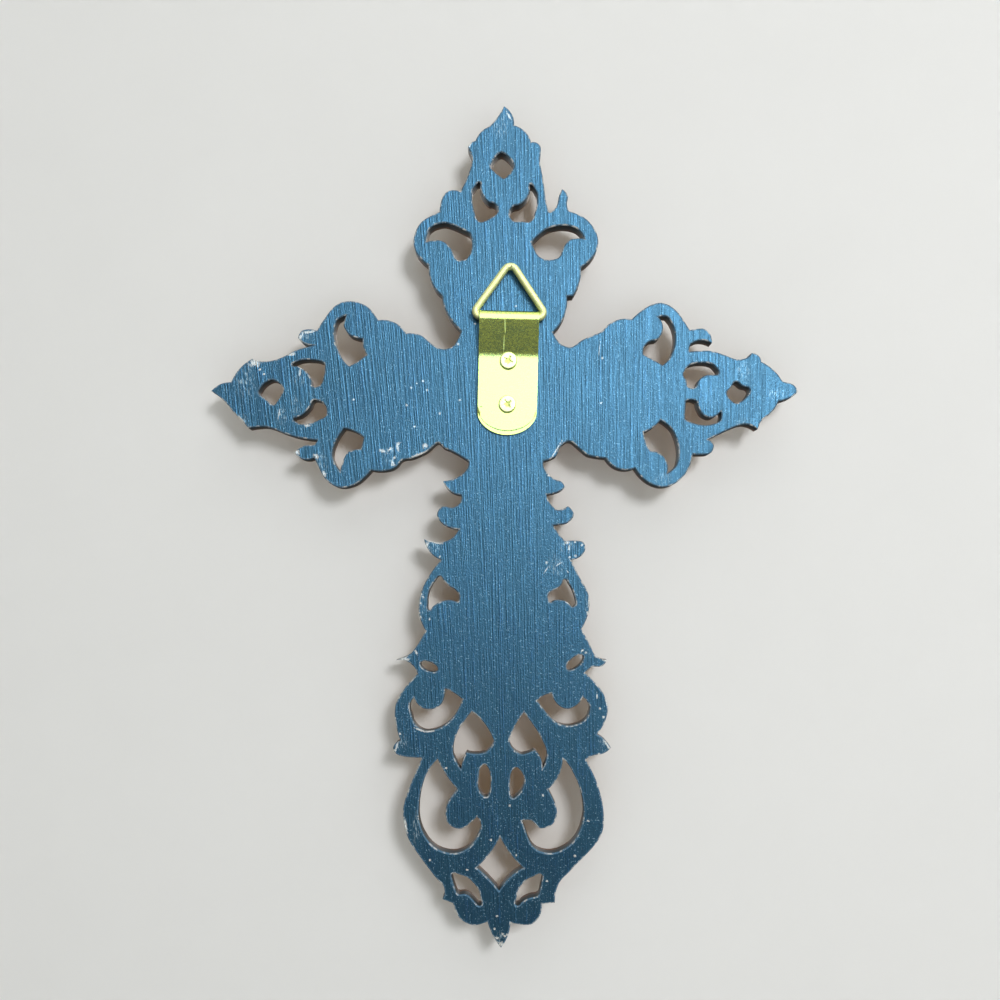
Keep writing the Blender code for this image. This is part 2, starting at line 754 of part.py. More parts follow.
def ring_line():
    """The wire's middle line in (x, z): rounded top, straight sides, round corners."""
    steps = 6
    top_centre = Vector((0, RING_DROP + WIRE_RADIUS - RING_TOP_RADIUS))
    corner_centre = Vector((STRAP_WIDTH / 2 - RING_CORNER_INSET, RING_CORNER_RADIUS))
    between = corner_centre - top_centre
    lean = math.atan2(between.x, -between.y)
    side_angle = lean - math.asin((RING_TOP_RADIUS - RING_CORNER_RADIUS) / between.length)
    right = [
        on_circle(top_centre, RING_TOP_RADIUS, angle)
        for angle in np.linspace(math.pi / 2, side_angle, steps)
    ]
    right += [
        on_circle(corner_centre, RING_CORNER_RADIUS, angle)
        for angle in np.linspace(side_angle, -math.pi / 2, 2 * steps)
    ]
    left = [Vector((-point.x, point.y)) for point in reversed(right[1:])]
    return right + left


def ring_curve():
    """The hanging ring: a round wire bent to a triangle."""
    curve = bpy.data.curves.new("hanger_ring", "CURVE")
    curve.dimensions = "3D"
    curve.bevel_depth = WIRE_RADIUS
    curve.bevel_resolution = 3
    points = ring_line()
    spline = curve.splines.new("POLY")
    spline.points.add(len(points) - 1)
    for knot, point in zip(spline.points, points):
        knot.co = (point.x, 0, point.y, 1)
    spline.use_cyclic_u = True
    return curve


def screw_mesh(name):
    """A pan-headed screw along -Y, its head's seat at y = 0."""
    sides = 20
    head = SCREW_HEAD_DIAMETER / 2
    shank = SCREW_SHANK_DIAMETER / 2
    crown_rise = SCREW_HEAD_HEIGHT - SCREW_RIM_HEIGHT
    crown = [
        (head * math.cos(angle), SCREW_RIM_HEIGHT + crown_rise * math.sin(angle))
        for angle in np.linspace(0, math.pi / 2, 5)[:-1]
    ]
    profile = [(0, -SCREW_LENGTH), (shank, SCREW_POINT - SCREW_LENGTH), (shank, 0), (head, 0)]
    profile += [*crown, (0, SCREW_HEAD_HEIGHT)]
    bm = bmesh.new()
    verts = [bm.verts.new((radius, y, 0)) for radius, y in profile]
    edges = [bm.edges.new(pair) for pair in zip(verts, verts[1:])]
    bmesh.ops.spin(
        bm, geom=verts + edges, cent=(0, 0, 0), axis=(0, 1, 0), angle=math.tau, steps=sides, use_merge=True,
    )
    bmesh.ops.remove_doubles(bm, verts=bm.verts, dist=1e-6)
    return mesh_from_bmesh(name, bm)


def recess_cutter_mesh():
    """A plus-shaped bar, as deep as the recess, reaching out of the head."""
    long_half, short_half = RECESS_SPAN / 2, RECESS_WIDTH / 2
    quarter = [(long_half, -short_half), (long_half, short_half), (short_half, short_half)]
    outline = []
    for turn in range(4):
        for x, z in quarter:
            for _ in range(turn):
                x, z = -z, x
            outline.append((x, z))
    low = SCREW_HEAD_HEIGHT - RECESS_DEPTH
    high = SCREW_HEAD_HEIGHT + RECESS_DEPTH
    bm = bmesh.new()
    face = bm.faces.new([bm.verts.new((x, low, z)) for x, z in outline])
    raised = bmesh.ops.extrude_face_region(bm, geom=[face])["geom"]
    raised = [item for item in raised if isinstance(item, bmesh.types.BMVert)]
    bmesh.ops.translate(bm, verts=raised, vec=(0, high - low, 0))
    return mesh_from_bmesh("recess_cutter", bm)


def hole_cutter_mesh():
    """A round bar, as wide as a screw's hole in the strap."""
    bm = bmesh.new()
    bmesh.ops.create_cone(
        bm, cap_ends=True, segments=16, radius1=SCREW_HOLE_RADIUS, radius2=SCREW_HOLE_RADIUS,
        depth=4 * KNUCKLE_RADIUS,
    )
    for vert in bm.verts:
        vert.co = (vert.co.x, vert.co.z, vert.co.y)
    return mesh_from_bmesh("hole_cutter", bm)


def cut(piece, cutter):
    """Takes the cutter's shape out of the piece, and hides the cutter."""
    difference = piece.modifiers.new(cutter.name, "BOOLEAN")
    difference.operation = "DIFFERENCE"
    difference.solver = "EXACT"
    difference.object = cutter
    cutter.hide_render = True
    cutter.display_type = "WIRE"


def place_in_hanger(piece, location):
    """Puts a piece in the hanger, measured from the middle of the knuckle."""
    piece.parent = hanger_place
    piece.location = (location[0], location[1], location[2] - RING_DROP)


paint = new_material("satin blue-black paint", (0.050, 0.130, 0.220), 0.38, 0.0)
brass = new_material("brass", (0.62, 0.47, 0.20), 0.30, 1.0)
plated = new_material("brass-plated steel", (0.66, 0.54, 0.28), 0.28, 1.0)

new_object("cross", cross_mesh(), paint)

hanger_place = bpy.data.objects.new("hanger_place", None)
hanger_place.rotation_euler = (0, HANGER_LEAN, 0)
bpy.context.collection.objects.link(hanger_place)

strap = new_object("hanger_strap", strap_mesh(), brass)
place_in_hanger(strap, (0, 0, 0))

ring = new_object("hanger_ring", ring_curve(), brass)
place_in_hanger(ring, (0, 0, 0))

for screw_name, drop in SCREW_DROPS.items():
    screw = new_object(screw_name, screw_mesh(screw_name), plated)
    place_in_hanger(screw, (0, STRAP_TOP_Y + SEAT_GAP, -drop))
    recess = new_object(screw_name + "_recess_cutter", recess_cutter_mesh(), plated)
    place_in_hanger(recess, (0, STRAP_TOP_Y + SEAT_GAP, -drop))
    cut(screw, recess)
    hole = new_object(screw_name + "_hole_cutter", hole_cutter_mesh(), brass)
    place_in_hanger(hole, (0, LOWER_LEAF_Y, -drop))
    cut(strap, hole)
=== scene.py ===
# %% [markdown]
# # An openwork wall cross, seen from behind
#
# The real object is one resin casting. Its back is ground flat and painted blue-black, its
# front is carved and stained brown, and a brass hanger is screwed to the back: a strap folded
# over a triangle of wire. This script takes the construction model as a fixed frame, models
# each piece finely around it, and gives each surface its finish.

# %% Load the frame
import json
import math

import bmesh
import bpy
import numpy as np
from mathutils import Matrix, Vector
from mathutils.bvhtree import BVHTree
from mathutils.kdtree import KDTree


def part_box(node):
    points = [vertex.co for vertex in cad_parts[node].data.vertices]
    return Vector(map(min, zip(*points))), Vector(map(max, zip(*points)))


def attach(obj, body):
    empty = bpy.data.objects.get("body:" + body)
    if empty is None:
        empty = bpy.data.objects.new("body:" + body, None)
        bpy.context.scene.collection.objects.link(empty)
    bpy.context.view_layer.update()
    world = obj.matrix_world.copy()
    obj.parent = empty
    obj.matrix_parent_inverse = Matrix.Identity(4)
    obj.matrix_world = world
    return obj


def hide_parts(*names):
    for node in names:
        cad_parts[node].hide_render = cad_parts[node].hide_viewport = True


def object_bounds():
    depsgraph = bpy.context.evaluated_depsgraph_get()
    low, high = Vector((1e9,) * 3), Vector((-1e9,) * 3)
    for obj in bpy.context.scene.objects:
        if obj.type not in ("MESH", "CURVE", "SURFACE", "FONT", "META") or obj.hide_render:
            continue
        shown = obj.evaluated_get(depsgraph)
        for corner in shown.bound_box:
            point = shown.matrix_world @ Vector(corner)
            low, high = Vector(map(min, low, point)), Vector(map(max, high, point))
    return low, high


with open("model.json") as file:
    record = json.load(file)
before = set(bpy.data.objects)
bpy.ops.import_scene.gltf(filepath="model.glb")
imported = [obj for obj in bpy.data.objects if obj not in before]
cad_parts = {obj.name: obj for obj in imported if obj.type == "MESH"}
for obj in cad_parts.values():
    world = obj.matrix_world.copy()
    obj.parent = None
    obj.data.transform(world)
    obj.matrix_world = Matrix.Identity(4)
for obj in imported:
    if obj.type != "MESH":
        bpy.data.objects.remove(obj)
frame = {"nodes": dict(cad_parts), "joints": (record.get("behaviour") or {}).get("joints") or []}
cad_low, cad_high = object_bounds()
print("nodes:", sorted(frame["nodes"]))

# %% [markdown]
# Every place below is measured from the frame. The photograph shows the cross 842 pixels
# tall, so the frame gives the size of a pixel, and a mark on the paint can be named by the
# pixel where it shows. The picture is taken from behind, so its left is our +X.

# %% Sizes and places from the frame
MM = 0.001
CROSS_PIXELS_TALL = 842
NAIL_PIXEL = (510.4, 272.4)
CROSSING_PIXEL = (506, 393)
EDGE_DEPTH = 4.2 * MM

cross_low, cross_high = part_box("cross")
PIXEL = (cross_high.z - cross_low.z) / CROSS_PIXELS_TALL
BACK_Y = cross_high.y
EDGE_Y = BACK_Y - EDGE_DEPTH


def photo_place(u, v, y=BACK_Y):
    """The place in the frame of a pixel of the photograph, at a given depth."""
    return Vector(((NAIL_PIXEL[0] - u) * PIXEL, y, (NAIL_PIXEL[1] - v) * PIXEL))


CROSSING = photo_place(*CROSSING_PIXEL)
print("a pixel is", round(PIXEL / MM, 4), "mm; the back lies at y =", round(BACK_Y / MM, 2), "mm")

# %% [markdown]
# The camera stands square to the back, as the photographer's did. A 36 mm lens on a 36 mm
# sensor sees a field as wide as its distance, so the distance is 1000 pixels. The picture was
# cropped, so the point straight under the lens isn't its middle: a vertical shift does that.

# %% Camera
PHOTO_PIXELS = 1000
STRAIGHT_AHEAD_PIXEL = (500, 585)
LENS_MM = 36


def added(name, add, **settings):
    """Adds a camera, a light or a primitive with nothing else selected, and names it."""
    bpy.ops.object.select_all(action="DESELECT")
    add(**settings)
    piece = bpy.context.object
    piece.name = name
    return piece


camera_distance = PHOTO_PIXELS * PIXEL
camera = added(
    "camera", bpy.ops.object.camera_add, rotation=(math.pi / 2, 0, math.pi),
    location=photo_place(*STRAIGHT_AHEAD_PIXEL, y=BACK_Y + camera_distance),
)
camera.data.lens = LENS_MM
camera.data.sensor_width = LENS_MM
camera.data.clip_start = 0.01
camera.data.shift_y = (STRAIGHT_AHEAD_PIXEL[1] - PHOTO_PIXELS / 2) / PHOTO_PIXELS
camera.data.shift_x = (STRAIGHT_AHEAD_PIXEL[0] - PHOTO_PIXELS / 2) / PHOTO_PIXELS
bpy.context.scene.camera = camera
print("camera", round(camera_distance / MM), "mm from the back")

# %% [markdown]
# A few helpers carry the rest. Operators act on whatever is selected, so each step first
# says which piece it is on, and then picks faces or edges by a test on their place.


# %% Helpers for modelling
def work_on(piece):
    """Makes this the one selected and active piece."""
    bpy.ops.object.select_all(action="DESELECT")
    piece.select_set(True)
    bpy.context.view_layer.objects.active = piece


def pick(piece, kind, wanted):
    """In edit mode, selects the VERT, EDGE or FACE elements that pass a test."""
    bpy.ops.mesh.select_mode(type=kind)
    bpy.ops.mesh.select_all(action="DESELECT")
    mesh = bmesh.from_edit_mesh(piece.data)
    elements = {"VERT": mesh.verts, "EDGE": mesh.edges, "FACE": mesh.faces}[kind]
    picked = [element for element in elements if wanted(element)]
    for element in picked:
        element.select_set(True)
    mesh.select_flush_mode()
    bmesh.update_edit_mesh(piece.data)
    return len(picked)


def face_outwards():
    """In edit mode, turns every face outwards."""
    bpy.ops.mesh.select_all(action="SELECT")
    bpy.ops.mesh.normals_make_consistent(inside=False)


def apply_modifier(piece, kind, **settings):
    """Gives a piece a modifier with these settings, and applies it."""
    work_on(piece)
    modifier = piece.modifiers.new(kind.lower(), kind)
    for name, value in settings.items():
        setattr(modifier, name, value)
    bpy.ops.object.modifier_apply(modifier=modifier.name)


def points_of(piece):
    """The places of a mesh's points, as an array of X, Y, Z rows."""
    places = np.empty(len(piece.data.vertices) * 3)
    piece.data.vertices.foreach_get("co", places)
    return places.reshape(-1, 3)


def move_points(piece, places):
    """Puts a mesh's points at new places."""
    piece.data.vertices.foreach_set("co", places.ravel())
    piece.data.update()


def set_place(piece):
    """Takes a piece's turn, size and place into its mesh."""
    work_on(piece)
    bpy.ops.object.transform_apply(location=True, rotation=True, scale=True)


def triangles_in(piece):
    return sum(len(polygon.vertices) - 2 for polygon in piece.data.polygons)


def describe(piece):
    """Prints how many triangles a finished piece has, and its sides in millimetres."""
    sides = [round(side / MM, 2) for side in piece.dimensions]
    print(piece.name, triangles_in(piece), "triangles", sides)


def smooth_step(value, start, end):
    """Rises smoothly from 0 to 1 while the value goes from start to end."""
    share = np.clip((value - start) / (end - start), 0, 1)
    return share * share * (3 - 2 * share)


# %% [markdown]
# ## The casting
#
# On the real cross the outline is sculpted by hand, so its curves are smooth. The frame's
# outline is cut into straight chords of up to 3 mm. It could be drawn again from nothing, but
# then it could drift from the frame. Instead a copy of the frame's mesh is merged, its flat
# back is taken off, and its chords are cut in four. The frame's own points stay where they are.
# A face is upright, level or neither by how much of its normal points along Y.

# %% Copy the cross, merge it and take off its back
MERGE_DISTANCE = 0.005 * MM
FLAT = 0.02 * MM
UPRIGHT = 0.05
LEVEL = 0.9
CHORD_CUTS = 3

carved_cross = bpy.data.objects.new("carved_cross", frame["nodes"]["cross"].data.copy())
bpy.context.scene.collection.objects.link(carved_cross)
carved_cross.data.materials.clear()
work_on(carved_cross)
bpy.ops.object.mode_set(mode="EDIT")
bpy.ops.mesh.select_all(action="SELECT")
bpy.ops.mesh.remove_doubles(threshold=MERGE_DISTANCE)


def at_depth(vert, y):
    return abs(vert.co.y - y) < FLAT


def is_wall(face):
    """An upright face of an edge, from the back down to where the carving starts."""
    at_ends = [at_depth(vert, BACK_Y) or at_depth(vert, EDGE_Y) for vert in face.verts]
    return abs(face.normal.y) < UPRIGHT and all(at_ends)


def is_wall_diagonal(edge):
    """The line that cuts an upright rectangle into two triangles."""
    a, b = edge.verts
    across = math.hypot(a.co.x - b.co.x, a.co.z - b.co.z)
    slants = across > FLAT and abs(a.co.y - b.co.y) > FLAT
    return slants and all(is_wall(face) for face in edge.link_faces)


def is_back(face):
    return face.normal.y > LEVEL and all(at_depth(vert, BACK_Y) for vert in face.verts)


pick(carved_cross, "EDGE", is_wall_diagonal)
bpy.ops.mesh.dissolve_edges(use_verts=False)
pick(carved_cross, "FACE", is_back)
bpy.ops.mesh.delete(type="FACE")
bpy.ops.object.mode_set(mode="OBJECT")
frame_points = len(carved_cross.data.vertices)
print("frame points:", frame_points)


# %% Cut every chord and every facet of the front in four
TURNED_TO_FRONT = -0.1


def is_refined(edge):
    """An edge that lies along the outline or on the front, not up a wall or in a screw hole."""
    on_wall = any(is_wall(face) for face in edge.link_faces)
    if not on_wall:
        return any(face.normal.y < TURNED_TO_FRONT for face in edge.link_faces)
    return abs(edge.verts[0].co.y - edge.verts[1].co.y) < FLAT


bpy.ops.object.mode_set(mode="EDIT")
print("edges cut:", pick(carved_cross, "EDGE", is_refined))
bpy.ops.mesh.subdivide(number_cuts=CHORD_CUTS)
bpy.ops.object.mode_set(mode="OBJECT")
print("triangles now:", triangles_in(carved_cross))

# %% [markdown]
# The new points still lie on the straight chords. Each moves onto a smooth curve through the
# frame's points: its slope at a point is that of the circle through the point and its two
# neighbours. Where the outline turns by more than 42 degrees there is a real corner, and the
# curves on its two sides don't share a slope. A closed line less than 26 mm long is a small
# round opening, which has no corners.

# %% Find the outline's closed lines
CORNER_TURN = math.radians(42)
ROUND_SLOT_LENGTH = 26 * MM


def open_loops(piece):
    """The closed lines of edges that have a face on one side only, as lists of points."""
    mesh = bmesh.new()
    mesh.from_mesh(piece.data)
    mesh.verts.ensure_lookup_table()
    neighbours = {}
    for edge in mesh.edges:
        if len(edge.link_faces) == 1:
            a, b = (vert.index for vert in edge.verts)
            neighbours.setdefault(a, []).append(b)
            neighbours.setdefault(b, []).append(a)
    mesh.free()
    loops = []
    while neighbours:
        first = min(neighbours)
        loop = [first]
        while True:
            onward = [point for point in neighbours.pop(loop[-1]) if point in neighbours]
            if not onward:
                break
            loop.append(onward[0])
        loops.append(loop)
    return loops


outline_loops = [loop for loop in open_loops(carved_cross) if max(loop) >= frame_points]
print("closed lines:", len(outline_loops), "with", sum(len(loop) for loop in outline_loops), "points")


# %% Move the new points onto smooth curves
LEAST_ALONG = 0.2


def turned(direction, about):
    """A direction mirrored about another: how a circle's slope changes along its chord."""
    about = about / np.linalg.norm(about)
    return 2 * about * np.dot(direction, about) - direction


def slope_at(before, at, after):
    """The direction of the circle through three points, at the middle one."""
    back, ahead = at - before, after - at
    direction = back / np.dot(back, back) + ahead / np.dot(ahead, ahead)
    return direction / np.linalg.norm(direction)


def curve_between(a, b, leave, reach, share):
    """A point of the smooth curve from a to b with a given slope at each end."""
    span = np.linalg.norm(b - a)
    along = np.dot(leave, b - a) / span
    stretch = span * 2 / (1 + max(along, LEAST_ALONG))
    return (
        a * (2 * share ** 3 - 3 * share ** 2 + 1) + leave * stretch * (share ** 3 - 2 * share ** 2 + share)
        + b * (3 * share ** 2 - 2 * share ** 3) + reach * stretch * (share ** 3 - share ** 2)
    )


def smoothed_loop(loop, flat):
    """New places for the points between the frame's points of one closed line."""
    start = next(i for i, point in enumerate(loop) if point < frame_points)
    loop = loop[start:] + loop[:start]
    knots = [i for i, point in enumerate(loop) if point < frame_points]
    places = flat[[loop[i] for i in knots]]
    count = len(knots)
    around = sum(np.linalg.norm(places[k] - places[k - 1]) for k in range(count))
    sharpest = CORNER_TURN if around > ROUND_SLOT_LENGTH else math.pi
    slopes, corners = [], []
    for k in range(count):
        before, at, after = places[k - 1], places[k], places[(k + 1) % count]
        back, ahead = at - before, after - at
        turn = math.atan2(back[0] * ahead[1] - back[1] * ahead[0], np.dot(back, ahead))
        corners.append(abs(turn) > sharpest)
        slopes.append(slope_at(before, at, after))
    moved = {}
    for k in range(count):
        following = (k + 1) % count
        a, b = places[k], places[following]
        chord = b - a
        straight = chord / np.linalg.norm(chord)
        leave = slopes[k] if not corners[k] else None
        reach = slopes[following] if not corners[following] else None
        if leave is None and reach is None:
            leave = reach = straight
        elif leave is None:
            leave = turned(reach, chord)
        elif reach is None:
            reach = turned(leave, chord)
        between = loop[knots[k] + 1:knots[following] if following else len(loop)]
        for step, point in enumerate(between, 1):
            moved[point] = curve_between(a, b, leave, reach, step / (len(between) + 1))
    return moved


places = points_of(carved_cross)
flat = places[:, [0, 2]]
shift = np.zeros_like(flat)
for loop in outline_loops:
    for point, place in smoothed_loop(loop, flat).items():
        shift[point] = place - flat[point]
print("largest move:", round(np.linalg.norm(shift, axis=1).max() / MM, 3), "mm")

# %% [markdown]
# The walls and the front must follow the outline's new shape. A point under the rim moves
# exactly as the rim above it does, and a point of the front moves as its nearest rim points
# do, less and less towards the middle.

# %% Carry the new outline down the walls and into the front
FOLLOW_WIDTH = 2.2 * MM

rim_points = [point for loop in outline_loops for point in loop]
rim_tree = KDTree(len(rim_points))
for point in rim_points:
    rim_tree.insert((*flat[point], 0), point)
rim_tree.balance()

new_flat = flat.copy()
for point, (x, z) in enumerate(flat):
    nearest = rim_tree.find_n((x, z, 0), 3)
    if nearest[0][2] < MERGE_DISTANCE:
        new_flat[point] += shift[nearest[0][1]]
        continue
    pulls = np.array([1 / distance for _, _, distance in nearest])
    pull = sum(shift[other] * share for (_, other, _), share in zip(nearest, pulls / pulls.sum()))
    new_flat[point] += pull * (1 - smooth_step(nearest[0][2], 0, FOLLOW_WIDTH))
places[:, [0, 2]] = new_flat
print("points carried along:", int((np.abs(new_flat - flat).sum(axis=1) > 0).sum()))

# %% [markdown]
# The front is a bead along every edge, a swelling field inside it, a half-round rib along
# each limb and a rosette on the crossing. The frame holds these forms at a few points. Here
# the same forms are worked out again at every new point, so that the bead becomes round and
# the petals get their grooves. The floors of the two screw holes lie as deep as the front's
# own points, so they are told apart by their place and left alone.

# %% The carved front at every point
BEAD_INSET = 1.0 * MM
BEAD_RISE = 1.3 * MM
FIELD_START = 2.2 * MM
FIELD_END = 8.5 * MM
FIELD_RISE = 3.0 * MM
ROSETTE_RADIUS = 11.5 * MM
PETALS = 8
PETAL_RISE = 1.8 * MM
PETAL_GROOVE = 0.25
BUTTON_RADIUS = 3.4 * MM
BUTTON_RISE = 2.2 * MM
RIB_WIDTH = 4.6 * MM
RIB_RISE = 1.4 * MM
RIB_END_PIXELS = [(504, 236), (672, 393), (336, 393), (501, 698)]
SCREW_HOLE_REACH = 1.6 * MM
SCREW_HOLE_FLOOR = (1.4 * MM, 1.5 * MM)
FAINT = 0.2

crossing_flat = np.array((CROSSING.x, CROSSING.z))


def dome(share):
    """Height of a half round from its middle, 0, to its foot, 1."""
    return np.sqrt(np.clip(1 - share * share, 0, 1))


def rib_rise(points):
    """Height of the half-round ribs that run out from the crossing."""
    rise = np.zeros(len(points))
    for pixel in RIB_END_PIXELS:
        end = photo_place(*pixel)
        span = np.array((end.x, end.z)) - crossing_flat
        share = np.clip((points - crossing_flat) @ span / (span @ span), 0, 1)
        off = np.linalg.norm(points - crossing_flat - share[:, None] * span, axis=1)
        rise = np.maximum(rise, RIB_RISE * dome(off / (RIB_WIDTH / 2)))
    return rise


def rosette_rise(points):
    """Height of the rosette: a round button, and petals that swell and sink round it."""
    offset = points - crossing_flat
    radius = np.linalg.norm(offset, axis=1)
    angle = np.arctan2(offset[:, 1], offset[:, 0])
    ridge = PETAL_GROOVE + (1 - PETAL_GROOVE) * np.abs(np.cos(PETALS / 2 * angle))
    along = (radius - BUTTON_RADIUS) / (ROSETTE_RADIUS - BUTTON_RADIUS)
    petal = dome(np.clip(2 * along - 1, -1, 1)) * ridge
    return PETAL_RISE * petal + BUTTON_RISE * dome(radius / BUTTON_RADIUS)


def walls_tree(loops, flat):
    """The upright walls alone, to measure how far a point is from the nearest edge."""
    corners, faces = [], []
    for loop in loops:
        first = len(corners)
        for point in loop:
            x, z = flat[point]
            corners += [(x, EDGE_Y, z), (x, BACK_Y, z)]
        count = len(loop)
        for i in range(count):
            j = (i + 1) % count
            faces.append([first + 2 * i, first + 2 * j, first + 2 * j + 1, first + 2 * i + 1])
    return BVHTree.FromPolygons(corners, faces)


edge_tree = walls_tree(outline_loops, new_flat)
middle_y = (EDGE_Y + BACK_Y) / 2
edge_distance = np.array([edge_tree.find_nearest((x, middle_y, z))[3] for x, z in new_flat])
on_front = (places[:, 1] < EDGE_Y + FLAT) & (edge_distance > MERGE_DISTANCE)

screw_places = [sum(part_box(name), Vector()) / 2 for name in ("upper_screw", "lower_screw")]
for screw_place in screw_places:
    beside = np.hypot(new_flat[:, 0] - screw_place.x, new_flat[:, 1] - screw_place.z)
    above, below = (EDGE_Y - depth for depth in SCREW_HOLE_FLOOR)
    at_floor = (places[:, 1] > below) & (places[:, 1] < above)
    on_front &= ~(at_floor & (beside < SCREW_HOLE_REACH))

bead = BEAD_RISE * np.clip(1 - (edge_distance / BEAD_INSET - 1) ** 2, 0, 1)
field = FIELD_RISE * smooth_step(edge_distance, FIELD_START, FIELD_END)
from_crossing = np.linalg.norm(new_flat - crossing_flat, axis=1)
rib = np.where(from_crossing > ROSETTE_RADIUS, rib_rise(new_flat), 0)
rosette = rosette_rise(new_flat)
relief = bead + field + rib + rosette
plain_field = (bead < FAINT * BEAD_RISE) & (rib < FAINT * RIB_RISE) & (rosette < FAINT * PETAL_RISE)
places[on_front, 1] = EDGE_Y - relief[on_front]
move_points(carved_cross, places)
print("front points:", int(on_front.sum()), "deepest", round(places[:, 1].min() / MM, 2), "mm")

# %% [markdown]
# ## The ground back and its edges
#
# The maker ground the back flat on a belt, which left a sharp edge, and handling has rounded
# and worn it since. The rim is drawn in and up in four narrow strips, which makes a small
# round over. A strip is an inset and a drop, in parts of the round over's size, and a share of
# how much it belongs to the edge, which an attribute keeps for the paint. Where the material is
# narrow or the outline turns sharply, the strips are held back, a step at a time, until each
# point of the widest one is clear of all edges and no chord of it has shrunk or turned round.
# The flat inside is then one filled face.

# %% Which way is into the material at every rim point
ROUND_OVER = 0.26 * MM
STRIPS = [(0.0, 1.0, 1.0), (0.28, 0.28, 1.0), (1.0, 0.0, 0.85), (2.0, 0.0, 0.0)]
WIDEST_INSET = STRIPS[-1][0]
MITRE_LIMIT = 0.6
HOLD_BACK_TRIES = 24
HOLD_BACK_STEP = 0.8
LEAST_ROOM = 0.06
CLEAR_OF_EDGES = 1.5
LEAST_CHORD = 0.3


def inward_directions(loop, flat, is_outside):
    """For each point of a closed line, the direction into the material."""
    line = flat[loop]
    back = line - np.roll(line, 1, axis=0)
    ahead = np.roll(line, -1, axis=0) - line
    back /= np.linalg.norm(back, axis=1)[:, None]
    ahead /= np.linalg.norm(ahead, axis=1)[:, None]
    along = back + ahead
    along /= np.linalg.norm(along, axis=1)[:, None]
    inward = np.column_stack((-along[:, 1], along[:, 0]))
    longer = 1 / np.clip((along * ahead).sum(axis=1), MITRE_LIMIT, 1)
    following = np.roll(line, -1, axis=0)
    area = 0.5 * np.sum(line[:, 0] * following[:, 1] - following[:, 0] * line[:, 1])
    if (area > 0) != is_outside:
        inward = -inward
    return inward * longer[:, None]


longest = max(outline_loops, key=lambda loop: np.ptp(new_flat[loop][:, 1]))
inward, room = {}, {}
for loop in outline_loops:
    directions = inward_directions(loop, new_flat, loop is longest)
    line = new_flat[loop]
    ahead = np.roll(line, -1, axis=0) - line
    reach = np.ones(len(loop))
    for _ in range(HOLD_BACK_TRIES):
        tried = line + directions * (WIDEST_INSET * ROUND_OVER * reach)[:, None]
        clear = np.array([edge_tree.find_nearest((x, middle_y, z))[3] for x, z in tried])
        held = clear < CLEAR_OF_EDGES * ROUND_OVER * reach
        tried_ahead = np.roll(tried, -1, axis=0) - tried
        crossed = (tried_ahead * ahead).sum(axis=1) < LEAST_CHORD * (ahead * ahead).sum(axis=1)
        held |= crossed | np.roll(crossed, 1)
        reach[held & (reach > LEAST_ROOM)] *= HOLD_BACK_STEP
    for point, direction, share in zip(loop, directions, reach):
        inward[point] = direction
        room[point] = share
print("rim points held back:", sum(share < 1 for share in room.values()))

# %% Draw the rim in and up in four strips
WALL_STRIP_DROP = 2.2

places = points_of(carved_cross)
for point in rim_points:
    places[point, 1] = BACK_Y - WALL_STRIP_DROP * ROUND_OVER
move_points(carved_cross, places)

arris = {}
rim_of = {point: point for point in rim_points}
current = set(rim_points)
for inset, drop, share in STRIPS:
    first_new = len(carved_cross.data.vertices)
    bpy.ops.object.mode_set(mode="EDIT")
    pick(carved_cross, "EDGE", lambda edge: edge.is_boundary and edge.verts[0].index in current)
    bpy.ops.mesh.extrude_edges_move()
    bpy.ops.object.mode_set(mode="OBJECT")
    mesh = carved_cross.data
    fresh = {}
    for edge in mesh.edges:
        old, new = sorted(edge.vertices)
        if old in current and new >= first_new:
            fresh[new] = old
    for new, old in fresh.items():
        rim_of[new] = rim_of[old]
        source = rim_of[new]
        x, z = new_flat[source] + inward[source] * inset * ROUND_OVER * room[source]
        mesh.vertices[new].co = (x, BACK_Y - drop * ROUND_OVER, z)
        arris[new] = share
    current = set(fresh)
    print("strip", inset, "points", len(fresh))

# %% Fill the flat back
bpy.ops.object.mode_set(mode="EDIT")
pick(carved_cross, "EDGE", lambda edge: edge.is_boundary)
bpy.ops.mesh.fill(use_beauty=True)
bpy.ops.object.mode_set(mode="OBJECT")
bpy.ops.object.mode_set(mode="EDIT")
face_outwards()
bpy.ops.object.mode_set(mode="OBJECT")
edge_share = carved_cross.data.attributes.new("edge", "FLOAT", "POINT")
for point, share in arris.items():
    edge_share.data[point].value = share
still_open = open_loops(carved_cross)
print("open lines left:", len(still_open), "triangles:", triangles_in(carved_cross))

# %% [markdown]
# ## The hanger
#
# The hanger's pieces are modelled upright about the middle of the fold, where the wire turns,
# and then leaned and set in place as the frame has them. The real one is screwed on a little
# out of line, and the joint's axis in the frame tells how much.

# %% Where the hanger is
STRAP_WIDTH = 14.4 * MM
SHEET = 0.4 * MM
LEAF_GAP = 0.15 * MM
WIRE_RADIUS = 0.85 * MM
FOLD_RADIUS = WIRE_RADIUS + 0.45 * MM
LOWER_LEAF_Y = -FOLD_RADIUS
UPPER_LEAF_Y = LOWER_LEAF_Y + SHEET + LEAF_GAP
STRAP_TOP_Y = UPPER_LEAF_Y + SHEET / 2

joint = frame["joints"][0]
fold_middle = Vector(joint["pos_m"])
across_strap = -Vector(joint["axis"])
hanger_lean = math.atan2(across_strap.z, across_strap.x)
strap_low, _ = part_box("hanger_strap")
strap_length = (fold_middle.z - strap_low.z) / math.cos(hanger_lean)


def place_in_hanger(piece):
    """Leans a piece that was modelled about the fold, and sets it in its place."""
    piece.location = fold_middle
    piece.rotation_euler = (0, -hanger_lean, 0)
    set_place(piece)


